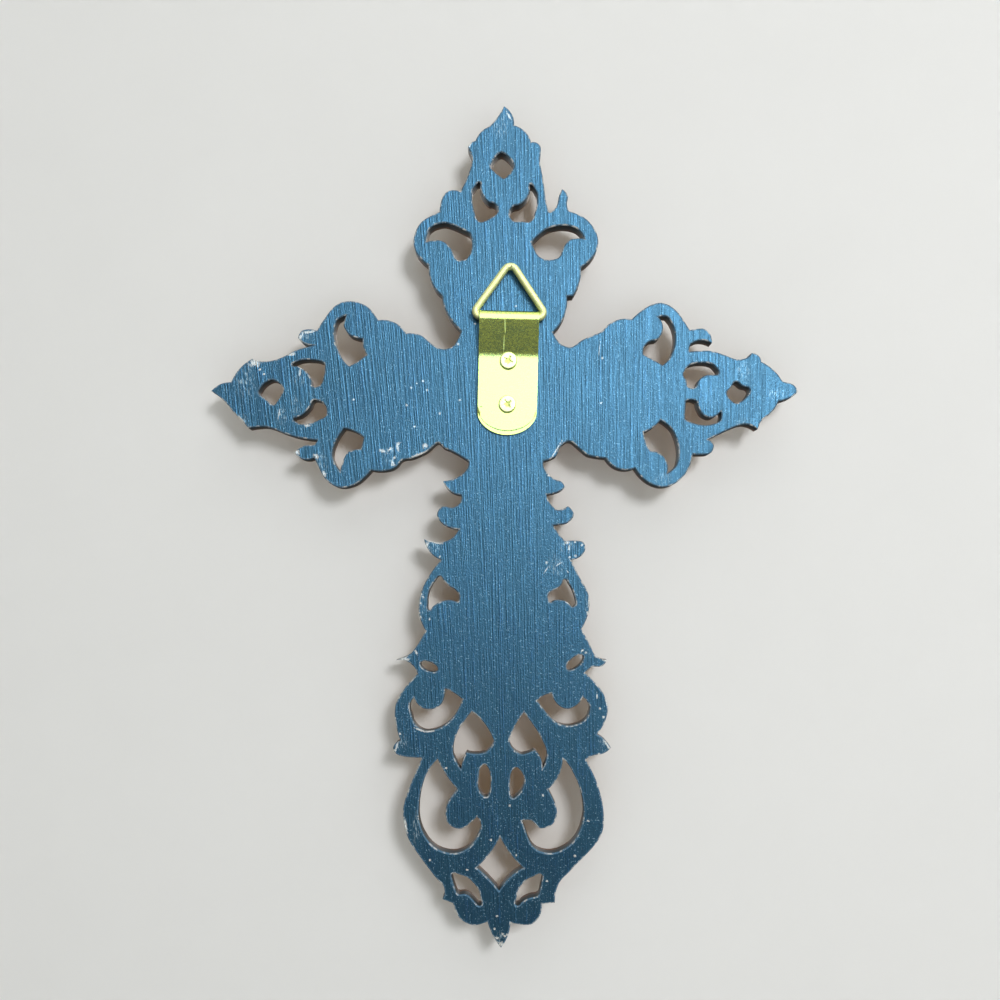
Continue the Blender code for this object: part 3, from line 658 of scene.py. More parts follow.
def finish_edges(piece, width, angle=40):
    """Rounds a piece's sharp edges a little and shades it smooth."""
    sharp = math.radians(angle)
    apply_modifier(piece, "BEVEL", width=width, segments=2, limit_method="ANGLE", angle_limit=sharp)
    bpy.ops.object.shade_smooth_by_angle(angle=sharp)
    apply_modifier(piece, "WEIGHTED_NORMAL", keep_sharp=True)


def cut_away(piece, cutter):
    """Takes the cutter's shape out of the piece, and removes the cutter."""
    apply_modifier(piece, "BOOLEAN", operation="DIFFERENCE", solver="EXACT", object=cutter)
    bpy.data.objects.remove(cutter)


print("the hanger leans", round(math.degrees(hanger_lean), 2), "degrees")
print("the strap is", round(strap_length / MM, 1), "mm long under its fold")

# %% [markdown]
# The strap is one strip of brass sheet, folded over the wire so that both leaves point down.
# A strip could be drawn as a section and given a width. Here it is folded as the press folds
# it: the lower leaf is a grid, its upper edge is spun round the fold, and then drawn down the
# slope and along the flat. The strip has no thickness until it is folded, which keeps both
# sides parallel.

# %% Fold the strap
KNUCKLE_HANG = 0.6 * MM
SLOPE_RUN = 9.08 * MM
UPPER_LEAF_SHORTER = 1.0 * MM
STRAP_COLUMNS = 32
LEAF_ROWS = 8
UPPER_ROWS = (1, 5, LEAF_ROWS)
FOLD_STEPS = 18
SOFT_BENDS = (0.3 * MM, 0.9 * MM)
BEND_STEPS = 5

folded_strap = added(
    "folded_strap", bpy.ops.mesh.primitive_grid_add,
    x_subdivisions=STRAP_COLUMNS, y_subdivisions=LEAF_ROWS, size=1,
    location=(0, LOWER_LEAF_Y, -strap_length / 2), rotation=(math.pi / 2, 0, 0),
)
folded_strap.scale = (STRAP_WIDTH, strap_length, 1)
set_place(folded_strap)

bends = [
    Vector((0, FOLD_RADIUS, 0)),
    Vector((0, FOLD_RADIUS, -KNUCKLE_HANG)),
    Vector((0, UPPER_LEAF_Y, -SLOPE_RUN)),
    Vector((0, UPPER_LEAF_Y, UPPER_LEAF_SHORTER - strap_length)),
]
bpy.ops.object.mode_set(mode="EDIT")
pick(folded_strap, "EDGE", lambda edge: all(vert.co.z > -FLAT for vert in edge.verts))
bpy.ops.mesh.spin(steps=FOLD_STEPS, angle=math.pi, center=(0, 0, 0), axis=(1, 0, 0))
for start, end, rows in zip(bends, bends[1:], UPPER_ROWS):
    for _ in range(rows):
        bpy.ops.mesh.extrude_edges_move(TRANSFORM_OT_translate={"value": (end - start) / rows})
for bend, bend_size in zip(bends[1:3], SOFT_BENDS):
    pick(folded_strap, "EDGE", lambda edge: all((vert.co - bend).yz.length < FLAT for vert in edge.verts))
    bpy.ops.mesh.bevel(offset=bend_size, segments=BEND_STEPS)
face_outwards()
bpy.ops.object.mode_set(mode="OBJECT")

# %% [markdown]
# Both leaves end in a round foot. Sliding each column of the grid up by the depth of an
# ellipse makes it, most at the end and less above. The columns are first drawn closer
# together towards the sides, where the ellipse is steep, and it stops at 80 of its 90 degrees,
# so that the last column is wide enough for its edge to be rounded. The strap is a hair
# narrower than the frame's, so that the raised ring clears it up to the end of its swing.

# %% Round the foot, give the sheet its thickness and drill it
FOOT_ROUND = 6.0 * MM
COLUMN_START = 0.55
FOOT_TURN = math.radians(80)
ROOM_FOR_WIRE = 0.05 * MM
SCREW_HOLE_RADIUS = 1.4 * MM
DRILL_SIDES = 32
SHEET_ROUNDING = 0.12 * MM

places = points_of(folded_strap)
turn = FOOT_TURN * places[:, 0] / (STRAP_WIDTH / 2)
places[:, 0] = (STRAP_WIDTH / 2 - ROOM_FOR_WIRE) * np.sin(turn) / math.sin(FOOT_TURN)
down = smooth_step(-places[:, 2] / strap_length, COLUMN_START, 1)
below_slope = places[:, 2] < -SLOPE_RUN
lift = FOOT_ROUND * (1 - np.cos(turn)) * np.where(below_slope, down, 0)
places[:, 2] += lift
move_points(folded_strap, places)

screw_drops = [(fold_middle.xz - place.xz).length for place in screw_places]
apply_modifier(folded_strap, "SOLIDIFY", thickness=SHEET, offset=0)
for drop in screw_drops:
    drill = added(
        "drill", bpy.ops.mesh.primitive_cylinder_add, vertices=DRILL_SIDES, radius=SCREW_HOLE_RADIUS,
        depth=4 * FOLD_RADIUS, location=(0, 0, -drop), rotation=(math.pi / 2, 0, 0),
    )
    cut_away(folded_strap, drill)
finish_edges(folded_strap, SHEET_ROUNDING)
place_in_hanger(folded_strap)
describe(folded_strap)

# %% [markdown]
# The ring is a bent wire. A curve with a round bevel would do, but a bender's own way is as
# short: a round profile starts in the middle of the bottom, is drawn along each straight run
# and spun round each bend, until it meets its own start.

# %% Bend the ring
RING_TOP_RADIUS = 1.6 * MM
RING_CORNER_RADIUS = 1.3 * MM
RING_CORNER_INSET = 0.4 * MM
WIRE_SIDES = 24
BASE_STEPS = 4
SIDE_STEPS = 8
CORNER_STEPS = 16
TOP_STEPS = 12

ring_drop = fold_middle.length
top_middle = Vector((0, 0, ring_drop + WIRE_RADIUS - RING_TOP_RADIUS))
corner_middle = Vector((STRAP_WIDTH / 2 - RING_CORNER_INSET, 0, RING_CORNER_RADIUS))
between = corner_middle - top_middle
side_turn = math.atan2(between.x, -between.z)
side_turn -= math.asin((RING_TOP_RADIUS - RING_CORNER_RADIUS) / between.length)
side_run = math.sqrt(between.length_squared - (RING_TOP_RADIUS - RING_CORNER_RADIUS) ** 2)
side_way = Vector((-math.sin(side_turn), 0, math.cos(side_turn)))

wire_ring = added(
    "wire_ring", bpy.ops.mesh.primitive_circle_add,
    vertices=WIRE_SIDES, radius=WIRE_RADIUS, location=(0, 0, 0), rotation=(0, math.pi / 2, 0),
)
set_place(wire_ring)


def draw_wire(way, length, steps):
    """Draws the selected end of the wire straight on."""
    for _ in range(steps):
        bpy.ops.mesh.extrude_edges_move(TRANSFORM_OT_translate={"value": way * length / steps})


def bend_wire(middle, turn, steps):
    """Bends the selected end of the wire round a middle, from +X towards +Z."""
    bpy.ops.mesh.spin(steps=steps, angle=turn, center=middle, axis=(0, 1, 0))


bpy.ops.object.mode_set(mode="EDIT")
bpy.ops.mesh.select_all(action="SELECT")
other_corner = Vector((-corner_middle.x, 0, corner_middle.z))
draw_wire(Vector((1, 0, 0)), corner_middle.x, BASE_STEPS)
bend_wire(corner_middle, side_turn + math.pi / 2, CORNER_STEPS)
draw_wire(side_way, side_run, SIDE_STEPS)
bend_wire(top_middle, math.pi - 2 * side_turn, TOP_STEPS)
draw_wire(Vector((side_way.x, 0, -side_way.z)), side_run, SIDE_STEPS)
bend_wire(other_corner, side_turn + math.pi / 2, CORNER_STEPS)
draw_wire(Vector((1, 0, 0)), corner_middle.x, BASE_STEPS)
bpy.ops.mesh.select_all(action="SELECT")
bpy.ops.mesh.remove_doubles(threshold=MERGE_DISTANCE)
face_outwards()
bpy.ops.object.mode_set(mode="OBJECT")
bpy.ops.object.shade_smooth()
place_in_hanger(wire_ring)
describe(wire_ring)

# %% [markdown]
# Each screw is a turned and pressed pin: a domed head with a cross recess, a shank and a
# point. It starts as a short cylinder. Insets that each rise a little make the dome, and
# extrusions from the underside make the shank. The recess is cut by two crossed bars. The
# second screw is a copy with its own mesh, and its recess stands at another angle.

# %% Turn a screw
HEAD_RADIUS = 2.075 * MM
HEAD_RIM = 0.1 * MM
HEAD_RISE = 0.5 * MM
SEAT_GAP = 0.3 * MM
SHANK_RADIUS = 1.1 * MM
SCREW_LENGTH = 6.6 * MM
SCREW_POINT = 1.6 * MM
RECESS_SPAN = 2.3 * MM
RECESS_WIDTH = 0.5 * MM
RECESS_DEPTH = 0.28 * MM
HEAD_SIDES = 40
DOME_STEPS = 12
HEAD_FLATNESS = 26
POINT_SHARE = 0.05
HEAD_ROUNDING = 0.035 * MM
HEAD_CREASE_ANGLE = 32
RECESS_TURNS = {"upper_screw": math.radians(-24), "lower_screw": math.radians(38)}


def turned_screw(name, recess_turn):
    """A screw along -Y whose head sits on y = 0."""
    rim = SEAT_GAP + HEAD_RIM
    screw = added(
        name, bpy.ops.mesh.primitive_cylinder_add, vertices=HEAD_SIDES, radius=HEAD_RADIUS, depth=rim,
        location=(0, rim / 2, 0), rotation=(-math.pi / 2, 0, 0),
    )
    set_place(screw)
    bpy.ops.object.mode_set(mode="EDIT")
    pick(screw, "FACE", lambda face: face.normal.y > LEVEL)
    radius, height = HEAD_RADIUS, 0.0
    for step in range(1, DOME_STEPS + 1):
        share = math.cos(math.pi / 2 * step / (DOME_STEPS + 0.5))
        new_radius, new_height = HEAD_RADIUS * share, HEAD_RISE * math.sqrt(1 - share ** HEAD_FLATNESS)
        bpy.ops.mesh.inset(thickness=radius - new_radius, depth=new_height - height)
        radius, height = new_radius, new_height
    pick(screw, "FACE", lambda face: face.normal.y < -LEVEL)
    bpy.ops.mesh.inset(thickness=HEAD_RADIUS - SHANK_RADIUS)
    bpy.ops.mesh.extrude_region_move(TRANSFORM_OT_translate={"value": (0, SCREW_POINT - SCREW_LENGTH, 0)})
    bpy.ops.mesh.extrude_region_move(TRANSFORM_OT_translate={"value": (0, -SCREW_POINT, 0)})
    bpy.ops.transform.resize(value=(POINT_SHARE, 1, POINT_SHARE))
    bpy.ops.object.mode_set(mode="OBJECT")
    for bar in range(2):
        cutter = added("bar", bpy.ops.mesh.primitive_cube_add, size=1, location=(0, rim + HEAD_RISE, 0))
        cutter.scale = (RECESS_SPAN, 2 * RECESS_DEPTH, RECESS_WIDTH)
        cutter.rotation_euler = (0, recess_turn + bar * math.pi / 2, 0)
        set_place(cutter)
        cut_away(screw, cutter)
    finish_edges(screw, HEAD_ROUNDING, angle=HEAD_CREASE_ANGLE)
    return screw


screws = {}
for (name, recess_turn), drop in zip(RECESS_TURNS.items(), screw_drops):
    screw = turned_screw("domed_" + name, recess_turn)
    screw.location = (0, STRAP_TOP_Y, -drop)
    set_place(screw)
    place_in_hanger(screw)
    screws[name] = screw
    describe(screw)

# %% [markdown]
# ## Finishes
#
# Every finish is made of nodes. Two small classes keep that short. One holds the nodes of a
# material or of the world, and each of its methods adds a node and gives back its output, so
# that a finish reads as a list of what it is made of. The other adds what only a material has.
# All patterns are placed in the frame's own metres.


# %% Helpers for building with nodes
def colour(red, green, blue):
    return (red, green, blue, 1)


class Nodes:
    """The nodes of a material or of the world."""

    def __init__(self, holder):
        holder.use_nodes = True
        self.tree = holder.node_tree

    def feed(self, socket, value):
        """Gives an input a fixed value, or links an output to it."""
        if isinstance(value, bpy.types.NodeSocket):
            self.tree.links.new(value, socket)
        else:
            socket.default_value = value

    def add(self, kind, *values, sockets=(), **settings):
        """Adds a node. Values go to its first inputs, and those in sockets to the named ones."""
        node = self.tree.nodes.new("ShaderNode" + kind)
        for name, value in settings.items():
            setattr(node, name, value)
        for key, value in [*enumerate(values), *dict(sockets).items()]:
            self.feed(node.inputs[key], value)
        return node

    def math(self, operation, a, b=0.0):
        return self.add("Math", a, b, operation=operation).outputs[0]

    def step(self, value, start, end, low=0.0, high=1.0):
        """Rises smoothly from low to high while the value goes from start to end."""
        values = (value, start, end, low, high)
        return self.add("MapRange", *values, interpolation_type="SMOOTHSTEP").outputs[0]

    def axis(self, vector, name):
        return self.add("SeparateXYZ", vector).outputs[name]

    def vector(self, x, y, z):
        return self.add("CombineXYZ", x, y, z).outputs[0]

    def scaled(self, vector, scale):
        return self.add("VectorMath", vector, scale, operation="MULTIPLY").outputs[0]

    def length(self, vector):
        return self.add("VectorMath", vector, operation="LENGTH").outputs["Value"]

    def noise(self, at, size, detail=2.0, roughness=0.5, distortion=0.0):
        """Cloudy noise from 0 to 1. Size is that of its patches, or three along X, Y and Z."""
        sizes = size if isinstance(size, tuple) else (size,) * 3
        sockets = {
            "Vector": self.scaled(at, [1 / side for side in sizes]), "Scale": 1.0,
            "Detail": detail, "Roughness": roughness, "Distortion": distortion,
        }
        return self.add("TexNoise", sockets=sockets).outputs[0]

    def mixed(self, share, a, b):
        """One colour laid over another, by a share from 0 to 1."""
        return self.add("Mix", share, sockets={6: a, 7: b}, data_type="RGBA").outputs[2]

    def weighed(self, parts):
        """The sum of some outputs, each times its weight."""
        total = 0.0
        for output, weight in parts:
            total = self.math("ADD", self.math("MULTIPLY", output, weight), total)
        return total

    def nearest(self, outputs):
        """The least of some outputs."""
        least = outputs[0]
        for output in outputs[1:]:
            least = self.math("MINIMUM", least, output)
        return least


class Finish(Nodes):
    """A material being made. Its patterns are placed by the object's own coordinates."""

    def __init__(self, name):
        self.material = bpy.data.materials.new(name)
        super().__init__(self.material)
        self.shader = self.tree.nodes["Principled BSDF"]
        self.place = self.add("TexCoord").outputs["Object"]

    def set(self, **values):
        """Feeds the shader's own inputs."""
        for name, value in values.items():
            self.feed(self.shader.inputs[name.replace("_", " ")], value)

    def attribute(self, name):
        return self.add("Attribute", attribute_name=name).outputs["Fac"]

    def bump(self, height, depth):
        self.set(Normal=self.add("Bump", sockets={"Height": height, "Distance": depth}).outputs[0])

    def near_ovals(self, ovals):
        """How near a place is to the nearest of some ovals: 1 on an oval's edge."""
        outputs = []
        for u, v, half_length, half_width, tilt in ovals:
            size = (half_length * PIXEL, 1, half_width * PIXEL)
            values = (self.place, photo_place(u, v), (0, math.radians(tilt), 0), size)
            outputs.append(self.length(self.add("Mapping", *values, vector_type="TEXTURE").outputs[0]))
        return self.nearest(outputs)

    def near_spots(self, spots):
        """As near_ovals, but a leaning oval is taken as upright or level, so it needs no turning."""
        outputs = []
        for u, v, half_length, half_width, tilt in spots:
            lean = math.radians(tilt)
            half_x = math.hypot(half_length * math.cos(lean), half_width * math.sin(lean)) * PIXEL
            half_z = math.hypot(half_length * math.sin(lean), half_width * math.cos(lean)) * PIXEL
            offset = self.add("VectorMath", self.place, photo_place(u, v), operation="SUBTRACT")
            outputs.append(self.length(self.scaled(offset.outputs[0], (1 / half_x, 1, 1 / half_z))))
        return self.nearest(outputs)

    def near_dots(self, dots, radius):
        """How near a place is to the nearest of some round dots: 1 on a dot's edge."""
        outputs = []
        for u, v in dots:
            distance = self.add("VectorMath", self.place, photo_place(u, v), operation="DISTANCE")
            outputs.append(distance.outputs["Value"])
        return self.math("DIVIDE", self.nearest(outputs), radius)


# %% [markdown]
# ### The paint on the back
#
# The back is blue-black paint over resin that was ground on a belt. The belt left fine long
# grooves, which stand upright on the right arm and lean more and more towards the left one.
# Through them the paint shines as streaks, and spreads a highlight sideways. The grooves are
# noise drawn out some forty times longer than wide, which tilts the surface as well as tinting
# it; the lightest streaks are partly the paint's own lighter tone and partly a painted glint.
# Pale dust lies on the paint as finer noise, and nicks darken a few pitted places. Where
# the paint was knocked off, the cream resin shows: each such chip is an oval at its own place,
# noise frays its edge, and the smallest are round specks. Scuffs are wide soft ovals of
# short pale streaks, and cracks are thin dark ones. The rounded rim is made a lighter blue-grey
# all round, partly paint rubbed thin and partly a painted edge highlight, and wear follows it in
# patches.
#
# An oval is written as the pixel of its middle, half its length and width in pixels, and how
# many degrees it leans.

# %% Where the paint is chipped
CHIPS = [
    (498, 114, 7, 1.3, 51), (509, 116, 5, 1.1, -60), (470, 144.5, 3.5, 1.6, 80),
    (254.5, 362.5, 5.5, 3.6, 15), (292, 354, 3.5, 1.6, 12), (300.5, 337, 4.5, 1.5, 62),
    (309, 332, 7, 1.5, 10),
    (240.5, 419.5, 7, 1.6, -45), (279, 414, 5, 0.6, 80), (300, 372, 3.5, 1, 85),
    (307, 425.5, 3, 1.4, 0), (296.5, 452, 3, 2.4, 0), (324, 474, 3, 1.8, -65), (316, 456, 3, 2, -40),
    (398, 444, 2.5, 1.4, 40), (390.5, 449, 2.5, 1.4, 30), (394.5, 457.5, 1.5, 1.2, 0),
    (393, 464.5, 2, 1.3, 0), (425, 446, 2.5, 2.2, 45), (420, 454, 9.5, 1.1, 20),
    (556, 450.5, 11, 0.9, 58), (549, 475.5, 1.8, 1.2, 0), (433, 541.5, 9.5, 1.4, -15),
    (427, 545, 3, 1.6, 60),
    (567.5, 542.5, 2.5, 1.4, 0), (569, 548.5, 3.5, 1, 90), (546, 570, 3.6, 0.5, 56),
    (559, 564, 3.6, 0.5, 33), (567.5, 571.5, 2, 0.5, -45), (402.5, 658.5, 7, 2.2, -10),
    (416.5, 652.5, 3, 1.2, -60), (589, 600.5, 6.5, 0.8, 85), (587.5, 613, 2.2, 0.9, 90),
    (582, 650.5, 2, 1.2, 45), (597, 656.5, 3.2, 1.2, -20), (605.5, 660.5, 2, 1.7, 0),
    (606.5, 702, 9.5, 0.9, -77), (597, 696, 3.2, 0.8, 90), (607.5, 745.5, 6.5, 1.1, -55),
    (420, 730, 5.5, 0.9, -20), (429, 731.3, 4.5, 0.9, 2), (396.5, 747.5, 6, 0.9, 75),
    (405.5, 826, 9, 1.5, -80), (497, 938, 2.4, 1.2, 0), (501, 944, 3, 2, 0), (505, 936, 2, 1, 0),
    (599.5, 349, 8, 0.35, 84), (383, 451, 4, 1.6, -20), (397.5, 447, 1.2, 4.2, 12),
    (392.5, 463, 1.4, 3.4, 5),
]
SPECK_RADIUS = 0.28 * MM
SPECKS = [
    (258, 366), (260, 369.5), (423, 381), (417, 383), (427, 390), (411, 387.5), (406.5, 405),
    (353.5, 399.5), (460, 400), (601, 403),
    (440, 413.5), (414.5, 426.5), (475, 324), (458, 344), (602.5, 358), (516, 306), (264, 374),
    (427.5, 543.5), (440, 557), (575, 542), (582, 545), (569.5, 557), (575.5, 556), (546.5, 562.5),
    (421.5, 594), (423, 597), (420, 603), (419, 613), (420.5, 617), (429.5, 619), (586, 652.5),
    (600, 708.5), (603.5, 717), (599, 754), (408, 684), (402, 690), (397.5, 698), (395, 718),
    (400, 734), (394.5, 750), (408.5, 790), (406.5, 795), (403.5, 803), (446, 768), (510, 806),
    (491, 840), (543, 795.5), (588, 821), (575, 856), (516, 855), (430, 860), (467, 870),
    (547, 881), (497, 916), (494.5, 929), (503, 934), (507, 935),
]
CRACKS = [(402.7, 704, 7.5, 0.45, -8), (463.2, 701.7, 1.6, 0.6, -30), (456, 406, 1.1, 0.8, 0)]
SCUFFS = [
    (246, 382, 17, 10, 84), (299, 378, 9, 5, 80), (282, 415, 9.5, 5, 85), (321, 464, 13, 4.5, -66),
    (241, 419, 9, 3, -38), (307, 336, 9, 3.5, -22), (390, 455, 9, 7, 70), (230, 372, 14, 3, 40),
    (296, 405, 5, 12, 10), (744, 372, 12, 6, 60), (776, 394, 12, 5, 10), (745, 425, 12, 5, -25),
    (664, 480, 10, 6, 30), (500, 124, 9, 14, 0), (416, 828, 4, 17, 0), (404, 660, 9, 4, -15),
    (400, 742, 8, 8, 0), (596, 654, 8, 4, -15), (604, 745, 5, 7, 0), (501, 938, 5, 7, 0),
    (566, 546, 10, 6, 0), (432, 546, 10, 9, -15), (422, 604, 3, 15, 0), (556, 565, 12, 6, 50),
    (588, 606, 3, 12, 0),
]
PITTED = [(577, 373, 24, 15, 0), (628, 345, 9, 0.8, 12), (650, 402.5, 13, 0.9, 4), (612, 366, 8, 0.8, 15)]

# %% The back's paint
LEAN_BETWEEN = (-25 * MM, 45 * MM)
LARGEST_LEAN = math.tan(math.radians(6.5))
BROAD_STREAK = (1.6 * MM, 1, 45 * MM)
GROOVE = (0.42 * MM, 1, 18 * MM)
SCRATCH = (0.28 * MM, 1, 4.5 * MM)
SCUFF_STREAK = (0.36 * MM, 1, 1.5 * MM)
SPECKLE = (0.28 * MM, 0.28 * MM, 0.36 * MM)
BLOTCH = (5 * MM, 5 * MM, 9 * MM)
NICK = (0.9 * MM, 1, 0.28 * MM)
WORN_PATCH = (1.5 * MM, 9 * MM, 1.5 * MM)
DUST_GRAIN = 0.34 * MM
FRAYING = 0.42 * MM
GROOVE_DEPTH = 0.28 * MM

paint = Finish("blue_black_paint")
x = paint.axis(paint.place, "X")
z = paint.axis(paint.place, "Z")
lean = paint.step(x, *LEAN_BETWEEN, high=LARGEST_LEAN)
upright = paint.math("SUBTRACT", x, paint.math("MULTIPLY", lean, z))
along_grooves = paint.vector(upright, 0.0, z)
broad = paint.noise(along_grooves, BROAD_STREAK)
grooves = paint.noise(along_grooves, GROOVE)
scratches = paint.noise(along_grooves, SCRATCH, detail=1)
speckle = paint.noise(paint.place, SPECKLE, detail=1, roughness=0.6)
blotches = paint.noise(paint.place, BLOTCH, detail=4)
grain = paint.weighed([(grooves, 0.50), (scratches, 0.18), (speckle, 0.20), (broad, 0.12)])
teal = paint.step(blotches, 0.42, 0.60)
low_paint = paint.mixed(teal, colour(0.001, 0.004, 0.009), colour(0.002, 0.006, 0.009))
mid_paint = paint.mixed(teal, colour(0.003, 0.010, 0.026), colour(0.004, 0.014, 0.025))
# The lightest streaks: partly the ground paint's own lighter tone, partly a painted glint on the grooves.
high_paint_and_glint = paint.mixed(teal, colour(0.020, 0.072, 0.19), colour(0.028, 0.088, 0.17))
painted = paint.mixed(paint.step(grain, 0.45, 0.54), low_paint, mid_paint)
painted = paint.mixed(paint.step(grain, 0.54, 0.64), painted, high_paint_and_glint)
dust = paint.noise(paint.place, DUST_GRAIN, detail=1)
painted = paint.mixed(paint.step(dust, 0.64, 0.73, high=0.7), painted, colour(0.26, 0.40, 0.49))
pitted = paint.step(paint.near_ovals(PITTED), 1.3, 0.5)
nicks = paint.noise(paint.place, NICK)
pitted = paint.math("MULTIPLY", pitted, paint.step(nicks, 0.50, 0.60))
painted = paint.mixed(pitted, painted, low_paint)

# %% The chips, the scuffs and the worn rim
fray = paint.noise(paint.place, FRAYING, detail=3, roughness=0.75)
frayed = paint.math("MULTIPLY", paint.math("SUBTRACT", fray, 0.5), 4.0)
near_chip = paint.nearest([paint.near_ovals(CHIPS), paint.near_dots(SPECKS, SPECK_RADIUS)])
near_chip = paint.math("ADD", near_chip, frayed)
chipped = paint.step(near_chip, 1.05, 0.75)
rim = paint.attribute("edge")
patchy = paint.noise(paint.place, WORN_PATCH, detail=5, roughness=0.75)
rubbed = paint.math("MULTIPLY", paint.step(rim, 0.60, 0.95), paint.step(patchy, 0.50, 0.60))
# The whole rounded rim is mixed towards a lighter blue-grey: partly paint rubbed thin, partly a painted
# edge highlight.
rim_highlight_and_wear = paint.mixed(paint.step(rim, 0.3, 0.9, high=0.5), painted, colour(0.12, 0.18, 0.24))
worn_and_edge_lit = paint.mixed(rubbed, rim_highlight_and_wear, colour(0.58, 0.54, 0.48))
scuffed = paint.step(paint.near_spots(SCUFFS), 1.3, 0.4)
streaks = paint.noise(along_grooves, SCUFF_STREAK, detail=3, roughness=0.7)
scuffed = paint.math("MULTIPLY", scuffed, paint.step(streaks, 0.52, 0.62, high=0.8))
worn_and_edge_lit = paint.mixed(scuffed, worn_and_edge_lit, colour(0.42, 0.50, 0.52))
cream = paint.mixed(paint.step(fray, 0.35, 0.6), colour(0.42, 0.36, 0.29), colour(0.95, 0.92, 0.84))
chips_shown = paint.mixed(chipped, worn_and_edge_lit, cream)
crack = paint.step(paint.near_ovals(CRACKS), 1.2, 0.8)
shine = paint.step(grain, 0.42, 0.58, low=0.48, high=0.32)
paint.set(
    Base_Color=paint.mixed(crack, chips_shown, colour(0.002, 0.002, 0.003)),
    Roughness=paint.math("ADD", shine, paint.step(rim, 0.3, 0.9, high=0.30)),
    IOR=1.85,
    Specular_IOR_Level=1.0,
    Specular_Tint=colour(0.225, 0.60, 0.94),
)
paint.bump(grain, GROOVE_DEPTH)

# %% [markdown]
# ### The walls and the carved front
#
# The walls carry black paint near the back, and below it the brown stain of the front, with an
# uneven line between. The front isn't seen in the photograph, except for that stain where it
# comes round the edges: a reddish brown. It is finished as such crosses are, plainer than the
# real one may be: the brown lies dark in the hollows, and the crests are rubbed with dull gold.
# A point is on a crest when it stands out further than the mean of the mesh around it, and the
# swelling field, which is broad and plain, takes less of the gold than a bead or a petal.

# %% Find the crests and hollows of the front
SMOOTHING_PASSES = 14
CREST_HEIGHT = 0.35 * MM
FIELD_SHINE = 0.62

places = points_of(carved_cross)
ends = np.array([edge.vertices[:] for edge in carved_cross.data.edges])
count = np.bincount(ends.ravel(), minlength=len(places))
level = places[:, 1].copy()
for _ in range(SMOOTHING_PASSES):
    total = np.bincount(ends[:, 0], level[ends[:, 1]], len(places))
    total += np.bincount(ends[:, 1], level[ends[:, 0]], len(places))
    level = 0.5 * level + 0.5 * total / np.maximum(count, 1)
crest = np.clip(0.5 + 0.5 * (level - places[:, 1]) / CREST_HEIGHT, 0, 1)
crest[:len(plain_field)] *= np.where(plain_field, FIELD_SHINE, 1)
crest_share = carved_cross.data.attributes.new("crest", "FLOAT", "POINT")
crest_share.data.foreach_set("value", crest)
print("crests", int((crest > 0.7).sum()), "hollows", int((crest < 0.3).sum()))


# %% The walls' and the front's finishes
GOLD_ON_CRESTS = 0.68
NO_GOLD = 1.2
STAIN_CLOUD = (5 * MM, 5 * MM, 7 * MM)
GRIT = 0.45 * MM
GRIT_DEPTH = 0.05 * MM
WALL_CLOUD = 1.6 * MM
WALL_CLOUD_DEPTH = 0.12 * MM
PAINT_RUN = 3 * MM
STAIN_BETWEEN = (2.2 * MM, 3.8 * MM)


def antique_brown(finish, gold_start):
    """Brown stain that lies dark in the hollows, with dull gold rubbed on the crests."""
    clouds = finish.noise(finish.place, STAIN_CLOUD, detail=5, roughness=0.6)
    grit = finish.noise(finish.place, GRIT, detail=3, roughness=0.7)
    clouded = finish.step(clouds, 0.3, 0.7)
    stain = finish.mixed(clouded, colour(0.060, 0.022, 0.012), colour(0.150, 0.058, 0.026))
    raised = finish.math("ADD", finish.attribute("crest"), finish.math("MULTIPLY", grit, 0.35))
    stain = finish.mixed(finish.step(raised, 0.45, 0.15), stain, colour(0.018, 0.008, 0.006))
    gold = finish.step(raised, gold_start, gold_start + 0.40, high=0.85)
    return finish.mixed(gold, stain, colour(0.42, 0.25, 0.095)), grit


front_stain = Finish("antique_brown_stain")
stained, grit = antique_brown(front_stain, GOLD_ON_CRESTS)
front_stain.set(Base_Color=stained, Roughness=front_stain.step(grit, 0.3, 0.7, low=0.38, high=0.58))
front_stain.bump(grit, GRIT_DEPTH)

wall_paint = Finish("painted_walls")
stained, _ = antique_brown(wall_paint, NO_GOLD)
clouds = wall_paint.noise(wall_paint.place, WALL_CLOUD, detail=4, roughness=0.65)
depth = wall_paint.math("SUBTRACT", BACK_Y, wall_paint.axis(wall_paint.place, "Y"))
uneven = wall_paint.math("MULTIPLY", wall_paint.math("SUBTRACT", clouds, 0.5), PAINT_RUN)
stain_share = wall_paint.step(wall_paint.math("ADD", depth, uneven), *STAIN_BETWEEN)
warm = wall_paint.mixed(wall_paint.step(clouds, 0.45, 0.65), stained, colour(0.15, 0.056, 0.022))
wall_paint.set(Base_Color=wall_paint.mixed(stain_share, colour(0.012, 0.022, 0.034), warm), Roughness=0.5)
wall_paint.bump(clouds, WALL_CLOUD_DEPTH)

# %% Give each part of the casting its finish
RIM_DEPTH = 0.9 * WALL_STRIP_DROP * ROUND_OVER
TURNED_TO_BACK = 0.3
STEEP = 0.1
DEAD_LEVEL = 0.999
CARVING_CREASE_ANGLE = 38
BACK, WALLS, FRONT = range(3)

for finish in (paint, wall_paint, front_stain):
    carved_cross.data.materials.append(finish.material)
for polygon in carved_cross.data.polygons:
    tilt = polygon.normal.y
    polygon.material_index = FRONT
    if tilt > TURNED_TO_BACK or BACK_Y - polygon.center.y < RIM_DEPTH:
        polygon.material_index = BACK
    elif abs(tilt) < STEEP and polygon.center.y > EDGE_Y:
        polygon.material_index = WALLS
work_on(carved_cross)
bpy.ops.object.shade_smooth_by_angle(angle=math.radians(CARVING_CREASE_ANGLE))
for polygon in carved_cross.data.polygons:
    if polygon.normal.y > DEAD_LEVEL:
        polygon.use_smooth = False

# %% [markdown]
# ### Brass
#
# The strap, the wire and the plated screws are all bright yellow metal, but of three kinds.
# Rolled sheet has a faint worm-like mottle, which shows where it mirrors something dark. Drawn
# wire is smoother, and the plating on the screws is paler. A bright metal has little colour of
# its own beyond its tint: what it mirrors makes its look, so the lights below matter as much.


